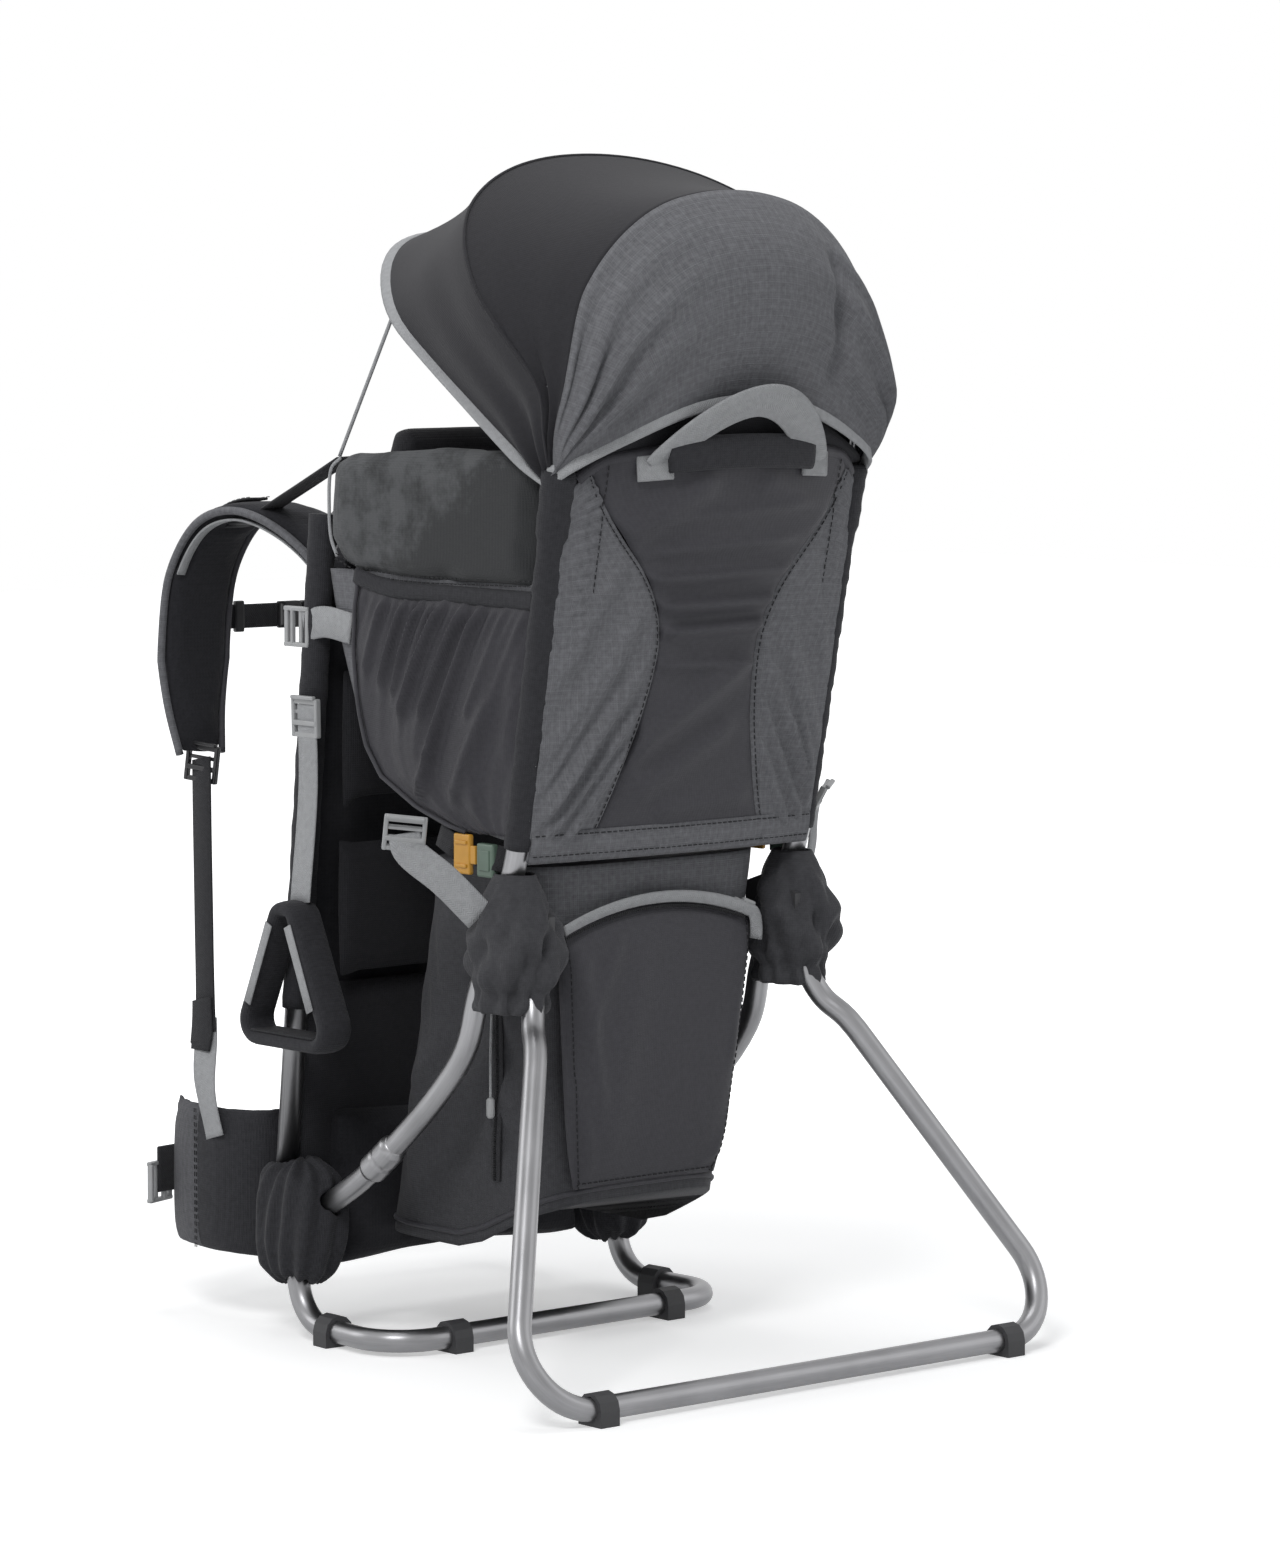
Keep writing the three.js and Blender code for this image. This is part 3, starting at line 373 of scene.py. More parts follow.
@dataclass(frozen=True)
class Cloth:
    """A woven, knitted or brushed cloth."""

    name: str
    colour: Colour
    weave: Weave = Weave.PLAIN
    thread: float = 0.0018
    mottle: float = 0.12
    patch: float = 0.004
    relief: float = 0.0004
    rough: float = 0.8
    sheen: float = 0.04
    on_uv: bool = True

    def make(self) -> Finish:
        """Builds the material."""
        tree = Tree(bpy.data.materials.new(self.name))
        coordinate = tree.node("ShaderNodeTexCoord")
        place = coordinate.outputs["UV" if self.on_uv else "Object"]
        split = tree.node("ShaderNodeSeparateXYZ", {0: place})
        u, v, w = split.outputs
        grain = tree.plus(tree.waves(u, self.thread), tree.waves(v, self.thread))
        if not self.on_uv:
            grain = tree.plus(grain, tree.waves(w, self.thread))
        fine = tree.noise(coordinate.outputs["Object"], self.patch, 3.0)
        height = tree.plus(tree.times(grain, 0.25), fine)
        shade = tree.plus(fine, tree.times(grain, 0.06))
        if self.weave is Weave.RIPSTOP:
            for axis in (u, v):
                line = tree.sum("POWER", tree.sum("ABSOLUTE", tree.waves(axis, self.thread * 7)), 24.0)
                height = tree.plus(height, tree.times(line, 0.5))
                shade = tree.plus(shade, tree.times(line, 0.16))
        elif self.weave is Weave.MESH:
            hole = tree.sum("GREATER_THAN", grain, 0.55)
            height = tree.sum("SUBTRACT", height, tree.times(hole, 0.8))
            shade = tree.sum("SUBTRACT", shade, tree.times(hole, 0.35))
        elif self.weave is Weave.PILE:
            cloud = tree.noise(coordinate.outputs["Object"], 0.022, 4.0)
            slant = tree.plus(v, tree.times(w, 1.49))
            brushed = {"Value": tree.plus(slant, tree.times(cloud, 0.05)), "From Min": 0.9, "From Max": 0.985}
            pile = tree.node("ShaderNodeMapRange", brushed, interpolation_type="SMOOTHSTEP").outputs[0]
            cloud = tree.times(tree.sum("SUBTRACT", cloud, 0.42), tree.times(pile, 3.4))
            flat = tree.times(tree.sum("SUBTRACT", 1.0, pile), 0.75)
            shade = tree.plus(shade, tree.sum("SUBTRACT", cloud, flat))
        elif self.weave is Weave.TAPE:
            rib = tree.waves(tree.plus(v, tree.sum("PINGPONG", u, 0.003)), self.thread)
            height = tree.plus(fine, tree.times(rib, 0.5))
            shade = tree.plus(fine, tree.times(rib, 0.12))
        tree.tone(self.colour, shade, 1 - self.mottle * 2, 1 + self.mottle * 2)
        tree.bump(height, self.relief)
        tree.set(Roughness=self.rough, Sheen_Weight=self.sheen, Sheen_Roughness=0.5, Specular_IOR_Level=0.2)
        return tree.material


@dataclass(frozen=True)
class Metal:
    """Drawn alloy tube, brushed lengthwise."""

    name: str
    colour: Colour
    rough: float = 0.3

    def make(self) -> Finish:
        """Builds the material."""
        tree = Tree(bpy.data.materials.new(self.name))
        coordinate = tree.node("ShaderNodeTexCoord")
        stretch = tree.node("ShaderNodeMapping", {0: coordinate.outputs["UV"], "Scale": (1.0, 0.04, 1.0)})
        streak = tree.noise(stretch.outputs[0], 0.0012, 3.0)
        smear = tree.noise(coordinate.outputs["Object"], 0.05, 3.0)
        tree.tone(self.colour, tree.plus(tree.times(streak, 0.6), smear), 0.72, 1.2)
        worn = tree.node("ShaderNodeMapRange",
                         {"Value": smear, "To Min": self.rough - 0.08, "To Max": self.rough + 0.1})
        tree.links.new(worn.outputs[0], tree.shader.inputs["Roughness"])
        tree.bump(streak, 0.00004, 0.3)
        tree.set(Metallic=1.0)
        return tree.material


@dataclass(frozen=True)
class Plastic:
    """Moulded plastic with a fine grain."""

    name: str
    colour: Colour
    rough: float = 0.42

    def make(self) -> Finish:
        """Builds the material."""
        tree = Tree(bpy.data.materials.new(self.name))
        place = tree.node("ShaderNodeTexCoord").outputs["Object"]
        grain = tree.noise(place, 0.0008, 2.0)
        wear = tree.noise(place, 0.012, 4.0)
        tree.tone(self.colour, wear, 0.85, 1.15)
        tree.bump(grain, 0.00006, 0.5)
        tree.set(Roughness=self.rough, Specular_IOR_Level=0.45)
        return tree.material


class Finishes:
    """Every material of the carrier, made once."""

    def __init__(self) -> None:
        """Makes the materials."""
        self.alloy = Metal("satin_alloy", (0.235, 0.235, 0.243), 0.34).make()
        self.black = Plastic("black_plastic", (0.018, 0.018, 0.02)).make()
        self.foot = Plastic("foot_rubber", (0.045, 0.045, 0.048), 0.6).make()
        self.grey = Plastic("grey_plastic", (0.36, 0.365, 0.37)).make()
        self.amber = Plastic("amber_plastic", (0.6, 0.3, 0.035)).make()
        self.green = Plastic("green_plastic", (0.1, 0.15, 0.115)).make()
        self.ripstop = Cloth("ripstop", (0.143, 0.144, 0.154), Weave.RIPSTOP, mottle=0.2).make()
        self.smooth = Cloth("smooth_cloth", (0.054, 0.053, 0.06), mottle=0.1, rough=0.62,
                            relief=0.0002).make()
        self.canopy = Cloth("canopy_cloth", (0.023, 0.0225, 0.026), mottle=0.1, rough=0.75,
                            relief=0.0002).make()
        self.stretch = Cloth("stretch_cloth", (0.036, 0.035, 0.041), mottle=0.14, rough=0.55,
                             relief=0.0002).make()
        self.collar = Cloth("collar_velour", (0.068, 0.07, 0.073), Weave.PILE, mottle=0.2, on_uv=False,
                            sheen=0.1, rough=0.95).make()
        self.ripstop_dark = Cloth("bag_cloth", (0.05, 0.05, 0.055), mottle=0.16, rough=0.7).make()
        self.ripstop_solid_dark = Cloth("wing_cloth", (0.09, 0.09, 0.098), on_uv=False, mottle=0.2).make()
        self.mesh = Cloth("spacer_mesh", (0.026, 0.026, 0.03), Weave.MESH, thread=0.0032, on_uv=False,
                          rough=0.9).make()
        self.dark = Cloth("dark_cloth", (0.03, 0.03, 0.034), mottle=0.2, on_uv=False).make()
        self.dark_uv = Cloth("dark_shell_cloth", (0.03, 0.03, 0.034), mottle=0.2).make()
        # painted shade: a near-black cloth standing in for the shadowed inside of the cabin, used on its
        # front wall and seat
        self.lining_solid = Cloth("inner_cloth_painted_shade", (0.02, 0.02, 0.023), on_uv=False, mottle=0.14).make()
        self.lining = Cloth("lining_cloth", (0.02, 0.02, 0.023), mottle=0.12).make()
        self.grey_tape = Cloth("grey_tape", (0.37, 0.375, 0.385), Weave.TAPE, mottle=0.1,
                               thread=0.0022).make()
        self.black_tape = Cloth("black_tape", (0.03, 0.03, 0.033), Weave.TAPE, mottle=0.16,
                                thread=0.0022).make()
        self.thread = Cloth("dark_thread", (0.02, 0.02, 0.022), on_uv=False).make()
        self.pale_thread = Cloth("pale_thread", (0.2, 0.2, 0.205), on_uv=False).make()


# ---- Meshes ----

def held(name: str, data: bpy.types.ID, material: Optional[Finish] = None) -> Piece:
    """Makes a mesh, lamp or camera an object of the scene.

    Args:
        name: the object's name.
        data: what it holds.
        material: a mesh's finish.

    Returns:
        The object.
    """
    if material:
        data.materials.append(material)
    piece = bpy.data.objects.new(name, data)
    bpy.context.scene.collection.objects.link(piece)
    return piece


def made(name: str, verts: Points, faces: Sequence[Sequence[int]], material: Finish,
         uvs: Optional[Sequence[Coords]] = None) -> Piece:
    """A new mesh object.

    Args:
        name: the object's name.
        verts: points in the scene, in metres.
        faces: corner numbers of each face.
        material: its finish.
        uvs: a place on the cloth for each corner of each face, in turn.

    Returns:
        The object.
    """
    mesh = bpy.data.meshes.new(name)
    mesh.from_pydata([tuple(v) for v in verts], [], [tuple(f) for f in faces])
    if uvs is not None:
        layer = mesh.uv_layers.new(name="UVMap")
        layer.data.foreach_set("uv", np.array(uvs, float).ravel())
    mesh.polygons.foreach_set("use_smooth", [True] * len(mesh.polygons))
    return held(name, mesh, material)


def settled(piece: Piece) -> Piece:
    """Applies a piece's modifiers and returns it.

    Args:
        piece: the piece, with modifiers.

    Returns:
        The same piece, with a plain mesh.
    """
    graph = bpy.context.evaluated_depsgraph_get()
    mesh = bpy.data.meshes.new_from_object(piece.evaluated_get(graph))
    piece.modifiers.clear()
    piece.data = mesh
    return piece


def surface(name: str, place: Place, nu: int, nv: int, material: Finish, thick: float = 0.0,
            closed: bool = False, cap: bool = False) -> Piece:
    """A sheet from a rule, with its UV map in metres of cloth.

    Args:
        name: the object's name.
        place: the point for u and v, each from 0 to 1.
        nu, nv: faces along u and v.
        material: its finish.
        thick: thickness in metres, laid behind the face that u cross v points out of.
        closed: whether u runs all the way round.
        cap: whether a closed sheet's two ends are filled.

    Returns:
        The object.
    """
    columns = nu if closed else nu + 1
    rows = [[place(i / nu, j / nv) for i in range(nu + 1)] for j in range(nv + 1)]
    run_u, run_v = runs_of(rows[nv // 2]), runs_of([row[nu // 2] for row in rows])
    verts = [p for row in rows for p in row[:columns]]
    faces, uvs = [], []
    for j in range(nv):
        for i in range(nu):
            k = (i + 1) % columns
            faces.append((j * columns + i, j * columns + k, (j + 1) * columns + k, (j + 1) * columns + i))
            uvs += [(run_u[a], run_v[b]) for a, b in ((i, j), (i + 1, j), (i + 1, j + 1), (i, j + 1))]
    if cap:
        ends = [list(range(columns))[::-1], [nv * columns + i for i in range(columns)]]
        for end in ends:
            faces.append(end)
            uvs += [(verts[i].x, verts[i].y) for i in end]
    piece = made(name, verts, faces, material, uvs)
    if thick:
        wall = piece.modifiers.new("wall", "SOLIDIFY")
        wall.thickness = thick
        wall.offset = -1
        settled(piece)
    return piece


def swept(name: str, points: Points, section: Callable[[float], Sequence[Coords]],
          across_at: Across, material: Finish,
          ring: bool = False) -> Piece:
    """A closed section swept along a line, with caps.

    Args:
        name: the object's name.
        points: the line, in scene metres.
        section: the outline at a share of the line, as pairs along the width and the thickness.
        across_at: the width's direction at a share of the line, given the tangent there.
        material: its finish.
        ring: whether the line closes on itself.

    Returns:
        The object.
    """
    last = len(points) - 1
    verts, faces, uvs, rims = [], [], [], []
    runs = runs_of(points)
    for i, p in enumerate(points):
        before = points[(i - 1) % (last + 1)] if ring else points[max(i - 1, 0)]
        after = points[(i + 1) % (last + 1)] if ring else points[min(i + 1, last)]
        tangent = (after - before).normalized()
        t = i / last
        wide = across_at(t, tangent)
        wide = (wide - tangent * wide.dot(tangent)).normalized()
        high = tangent.cross(wide)
        rims.append(section(t))
        verts += [p + wide * a + high * b for a, b in rims[-1]]
    count = len(rims[0])
    girth = [0.0]
    for a, b in zip(rims[0], [*rims[0][1:], rims[0][0]]):
        girth.append(girth[-1] + dist(a, b))
    for i in range(last + 1 if ring else last):
        j = (i + 1) % (last + 1)
        far = runs[i] + 1e-3 if j == 0 else runs[j]
        for k in range(count):
            m = (k + 1) % count
            faces.append((i * count + k, i * count + m, j * count + m, j * count + k))
            uvs += [(girth[k], runs[i]), (girth[k + 1], runs[i]), (girth[k + 1], far), (girth[k], far)]
    if not ring:
        for end in (list(range(count))[::-1], [last * count + k for k in range(count)]):
            faces.append(end)
            uvs += [rims[0][k % count] for k in end]
    return made(name, verts, faces, material, uvs)


def round_section(radius: float, sides: int) -> list[Coords]:
    """A circle as a section's outline."""
    turns = [2 * pi * i / sides for i in range(sides)]
    return [(radius * cos(a), radius * sin(a)) for a in turns]


def steady(points: Points) -> Across:
    """A width direction that doesn't twist along a line.

    Args:
        points: the line.

    Returns:
        A rule by share and tangent, for swept.
    """
    held = [(points[1] - points[0]).orthogonal().normalized()]

    def direction(_: float, tangent: Vector) -> Vector:
        """The last direction, turned as little as possible."""
        wide = held[0] - tangent * held[0].dot(tangent)
        held[0] = wide.normalized()
        return held[0]

    return direction


def pipe(name: str, points: Points, radius: float, material: Finish, sides: int = 10,
         swell: Optional[Callable[[float], float]] = None, ring: bool = False) -> Piece:
    """A round tube along a line; swell scales its radius along it."""
    section = lambda t: round_section(radius * (swell(t) if swell else 1.0), sides)
    return swept(name, points, section, steady(points), material, ring)


def strip_section(width: float, thick: float, soft: float = 0.5) -> list[Coords]:
    """A flat band's outline with rounded long edges."""
    w, h = width / 2, thick / 2
    edge = min(h * 2 * soft, w * 0.4)
    return [(-w, 0), (-w + edge, -h), (0, -h), (w - edge, -h), (w, 0), (w - edge, h), (0, h), (-w + edge, h)]


def band(name: str, points: Points, wide: Union[Vector, Across], width: float, thick: float,
         material: Finish, ring: bool = False) -> Piece:
    """A flat strip of webbing or tape.

    Args:
        name: the object's name.
        points: its middle line.
        wide: the direction of its width, or a rule for it by share and tangent.
        width, thick: its section in metres.
        material: its finish.
        ring: whether it closes on itself.

    Returns:
        The object.
    """
    rule = wide if callable(wide) else lambda t, tangent: wide
    return swept(name, points, lambda t: strip_section(width, thick), rule, material, ring)


class Shape:
    """Hard parts gathered into one mesh: blocks, rods and frames, before they are put in place."""

    def __init__(self) -> None:
        """Opens an empty shape."""
        self.bm = bmesh.new()

    def block(self, centre: Sequence[float], size: Sequence[float], bevel: float = 0.0006,
              turn: Optional[Matrix] = None) -> "Shape":
        """Adds a block with rounded edges.

        Args:
            centre: its middle.
            size: its three sides.
            bevel: radius of its edges.
            turn: how it is turned about the shape's origin.

        Returns:
            The shape.
        """
        grown = bmesh.ops.create_cube(self.bm, size=1.0)["verts"]
        for v in grown:
            v.co = Vector((v.co.x * size[0], v.co.y * size[1], v.co.z * size[2]))
            if turn:
                v.co = turn @ v.co
            v.co += Vector(centre)
        if bevel:
            edges = list(dict.fromkeys(e for v in grown for e in v.link_edges))
            bmesh.ops.bevel(self.bm, geom=edges, offset=bevel, segments=2, affect="EDGES", profile=0.5)
        return self

    def rod(self, a: Sequence[float], b: Sequence[float], radius: float, sides: int = 14) -> "Shape":
        """Adds a round rod with softened ends.

        Args:
            a, b: the middles of its ends.
            radius: its radius.
            sides: facets round it.

        Returns:
            The shape.
        """
        a, b = Vector(a), Vector(b)
        grown = bmesh.ops.create_cone(self.bm, cap_ends=True, segments=sides, radius1=radius, radius2=radius,
                                      depth=(b - a).length)["verts"]
        turn = UP.rotation_difference(b - a).to_matrix()
        for v in grown:
            v.co = turn @ v.co + (a + b) / 2
        return self

    def finish(self, name: str, material: Finish, spot: Vector,
               axes: Optional[Matrix] = None) -> Piece:
        """Turns the shape about its origin, sets it at a spot and makes it an object.

        Args:
            name: the object's name.
            material: its finish.
            spot: where the origin goes.
            axes: turns and scales it first.

        Returns:
            The object.
        """
        mesh = bpy.data.meshes.new(name)
        for v in self.bm.verts:
            v.co = (axes @ v.co if axes else v.co) + spot
        if axes and axes.determinant() < 0:
            bmesh.ops.reverse_faces(self.bm, faces=self.bm.faces[:])
        self.bm.to_mesh(mesh)
        self.bm.free()
        mesh.polygons.foreach_set("use_smooth", [False] * len(mesh.polygons))
        return held(name, mesh, material)


def facing(right: Vector, up: Vector) -> Matrix:
    """Axes whose X is right, whose Z is near up and whose Y points in."""
    x = right.normalized()
    y = up.cross(x).normalized()
    return Matrix((x, y, x.cross(y))).transposed()


def mirrored(piece: Piece, name: str) -> Piece:
    """A copy of a piece on the other side of the centre plane.

    Args:
        piece: the right-hand piece.
        name: the copy's name.

    Returns:
        The copy.
    """
    mesh = piece.data.copy()
    mesh.transform(Matrix.Scale(-1, 4, RIGHT))
    mesh.flip_normals()
    return held(name, mesh)


def dress(piece: Piece, body: str, slot: str, *nodes: str) -> Piece:
    """Seats a piece on its body and hides the nodes it stands for."""
    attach(piece, body)
    return labelled(piece, slot, *nodes)


def labelled(piece: Piece, slot: str, *nodes: str) -> Piece:
    """Hides the nodes a piece stands for and reports it.

    Args:
        piece: the piece.
        slot: the record's material slot; not used.
        nodes: the CAD nodes it stands for.

    Returns:
        The piece.
    """
    if nodes:
        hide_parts(*nodes)
    LOG.info("%s: %d faces", piece.name, len(piece.data.polygons))
    return piece


def pair(name: str, right: Piece, body: str, slot: str, node: str = "") -> list[Piece]:
    """Names a right-hand piece, mirrors it to the left and dresses both.

    Args:
        name: the pieces' shared name.
        right: the right-hand piece.
        body: the body they ride on; ``{side}`` in it stands for left or right.
        slot: the record's material slot.
        node: the CAD node that each replaces, without its side.

    Returns:
        The right and left pieces.
    """
    right.name = f"{name}_right"
    pieces = [right, mirrored(right, f"{name}_left")]
    for piece, side in zip(pieces, ("right", "left")):
        dress(piece, body.format(side=side), slot, *([f"{node}_{side}"] if node else []))
    return pieces


def stretched(name: str, right: Piece, slot: str, ends: Points, node: str = "") -> None:
    """Mirrors a right-hand webbing, hides the nodes the two stand for and bakes their places into their
    meshes.

    Args:
        name: the pieces' name, with braces for the side.
        right: the right-hand piece.
        slot: the record's material slot.
        ends: where it leaves the pack and where it meets the harness.
        node: the CAD node that each replaces, with braces for the side.
    """
    right.name = name.format("right")
    for piece, side in ((right, "right"), (mirrored(right, name.format("left")), "left")):
        labelled(piece, slot, *([node.format(side)] if node else []))
        start, end = ends if side == "right" else map(across, ends)
        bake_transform(piece)
        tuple(start)
        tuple(end)


# ---- Soft bodies ----

@dataclass(frozen=True)
class Stuffing:
    """How a padded piece is remeshed and inflated, in metres."""

    voxel: float = 0.006
    tuck: float = 0.003
    cap: float = 0.007
    pressure: float = 4.0
    frames: int = 20


def merged_copy(node: str, name: str, material: Finish) -> Piece:
    """A copy of a CAD node with its loose triangles merged.

    Args:
        node: the CAD node.
        name: the copy's name.
        material: its finish.

    Returns:
        The copy.
    """
    bm = bmesh.new()
    bm.from_mesh(frame["nodes"][node].data)
    bmesh.ops.remove_doubles(bm, verts=bm.verts[:], dist=2e-5)
    mesh = bpy.data.meshes.new(name)
    bm.to_mesh(mesh)
    bm.free()
    return held(name, mesh, material)


def shifted(piece: Piece, depth: Rule) -> Piece:
    """Moves each point along its normal by a rule of its place and normal, in metres.

    Args:
        piece: the piece.
        depth: the rule.

    Returns:
        The piece.
    """
    mesh = piece.data
    normals = [n.vector.copy() for n in mesh.vertex_normals]
    for v, normal in zip(mesh.vertices, normals):
        v.co += normal * depth(v.co, normal)
    mesh.update()
    return piece


def padded(name: str, node: str, material: Finish, stuffing: Stuffing = Stuffing(),
           source: Optional[Piece] = None) -> Piece:
    """A stuffed piece in the space of a CAD node, inflated as cloth.

    Args:
        name: the object's name.
        node: the CAD node whose space it fills.
        material: its finish.
        stuffing: how it is remeshed and filled.
        source: a closed mesh to fill in place of the node's own.

    Returns:
        The object.
    """
    piece = source or merged_copy(node, name, material)
    shifted(piece, lambda p, n: -stuffing.tuck)
    remesh = piece.modifiers.new("even", "REMESH")
    remesh.mode = "VOXEL"
    remesh.voxel_size = stuffing.voxel
    settled(piece)
    rest = [v.co.copy() for v in piece.data.vertices]
    inflate(piece, stuffing)
    for v, home in zip(piece.data.vertices, rest):
        move = v.co - home
        v.co = home + move * min(1.0, stuffing.cap / max(move.length, 1e-9))
    soften = piece.modifiers.new("soften", "SMOOTH")
    soften.iterations = 2
    fine = piece.modifiers.new("fine", "SUBSURF")
    fine.levels = fine.render_levels = 1
    settled(piece)
    piece.data.polygons.foreach_set("use_smooth", [True] * len(piece.data.polygons))
    piece.data.materials.clear()
    piece.data.materials.append(material)
    return piece


def inflate(piece: Piece, stuffing: Stuffing) -> None:
    """Blows a closed mesh up with Blender's cloth and keeps the result in the mesh.

    Args:
        piece: the closed mesh.
        stuffing: its pressure and time.
    """
    scene = bpy.context.scene
    cloth = piece.modifiers.new("stuffing", "CLOTH")
    cloth.settings.quality = 4
    cloth.settings.use_pressure = True
    cloth.settings.uniform_pressure_force = stuffing.pressure
    cloth.settings.effector_weights.gravity = 0
    cloth.point_cache.frame_start = 1
    cloth.point_cache.frame_end = stuffing.frames
    for step in range(1, stuffing.frames + 1):
        scene.frame_set(step)
    settled(piece)
    scene.frame_set(1)


# ---- Stitching by Geometry Nodes ----

class Stitching:
    """Rows of thread laid along lines by one Geometry Nodes tree."""

    def __init__(self, finish: Finish) -> None:
        """Makes the tree.

        Args:
            finish: the usual thread's material.
        """
        self.tree = bpy.data.node_groups.new("stitch_row", "GeometryNodeTree")
        face = self.tree.interface
        face.new_socket("Geometry", in_out="INPUT", socket_type="NodeSocketGeometry")
        for label, value in (("Spacing", 0.005), ("Stitch Length", 0.003), ("Thread Radius", 0.0004)):
            socket = face.new_socket(label, in_out="INPUT", socket_type="NodeSocketFloat")
            socket.default_value = value
        face.new_socket("Thread", in_out="INPUT", socket_type="NodeSocketMaterial")
        face.new_socket("Geometry", in_out="OUTPUT", socket_type="NodeSocketGeometry")
        self.finish = finish
        self.build()

    def build(self) -> None:
        """Lays out the tree: line, even points, one thread on each, realized."""
        kinds = {"start": "NodeGroupInput", "curve": "GeometryNodeMeshToCurve",
                 "even": "GeometryNodeResampleCurve",
                 "place": "GeometryNodeInstanceOnPoints", "thread": "GeometryNodeMeshCylinder",
                 "tangent": "GeometryNodeInputTangent", "turn": "FunctionNodeAlignRotationToVector",
                 "real": "GeometryNodeRealizeInstances", "dye": "GeometryNodeSetMaterial",
                 "end": "NodeGroupOutput"}
        node = {name: self.tree.nodes.new(kind) for name, kind in kinds.items()}
        node["even"].mode = "LENGTH"
        node["thread"].inputs["Vertices"].default_value = 6
        node["turn"].axis = "Z"
        for a, given, b, taken in (
                ("start", "Geometry", "curve", "Mesh"), ("curve", "Curve", "even", "Curve"),
                ("start", "Spacing", "even", "Length"), ("even", "Curve", "place", "Points"),
                ("thread", "Mesh", "place", "Instance"), ("start", "Stitch Length", "thread", "Depth"),
                ("start", "Thread Radius", "thread", "Radius"), ("tangent", "Tangent", "turn", "Vector"),
                ("turn", "Rotation", "place", "Rotation"), ("place", "Instances", "real", "Geometry"),
                ("real", "Geometry", "dye", "Geometry"), ("start", "Thread", "dye", "Material"),
                ("dye", "Geometry", "end", "Geometry")):
            self.tree.links.new(node[a].outputs[given], node[b].inputs[taken])

    def sew(self, name: str, lines: Iterable[Points], spacing: float = 0.0055,
            length: float = 0.0035, radius: float = 0.00045,
            finish: Optional[Finish] = None) -> Piece:
        """Sews rows along lines and returns them as one plain mesh.

        Args:
            name: the object's name.
            lines: the rows, each a polyline in the scene.
            spacing: from one stitch to the next, in metres.
            length: length of a stitch.
            radius: the thread's radius.
            finish: the thread's material, if it isn't the usual one.

        Returns:
            The stitches as an object.
        """
        verts, edges = [], []
        for line in lines:
            first = len(verts)
            verts += [tuple(p) for p in line]
            edges += [(first + i, first + i + 1) for i in range(len(line) - 1)]
        mesh = bpy.data.meshes.new(name)
        mesh.from_pydata(verts, edges, [])
        piece = held(name, mesh)
        modifier = piece.modifiers.new("stitches", "NODES")
        modifier.node_group = self.tree
        values = {"Spacing": spacing, "Stitch Length": length, "Thread Radius": radius,
                  "Thread": finish or self.finish}
        for item in self.tree.interface.items_tree:
            if item.in_out == "INPUT" and item.name in values:
                modifier[item.identifier] = values[item.name]
        return settled(piece)


# ---- Frame tubes ----

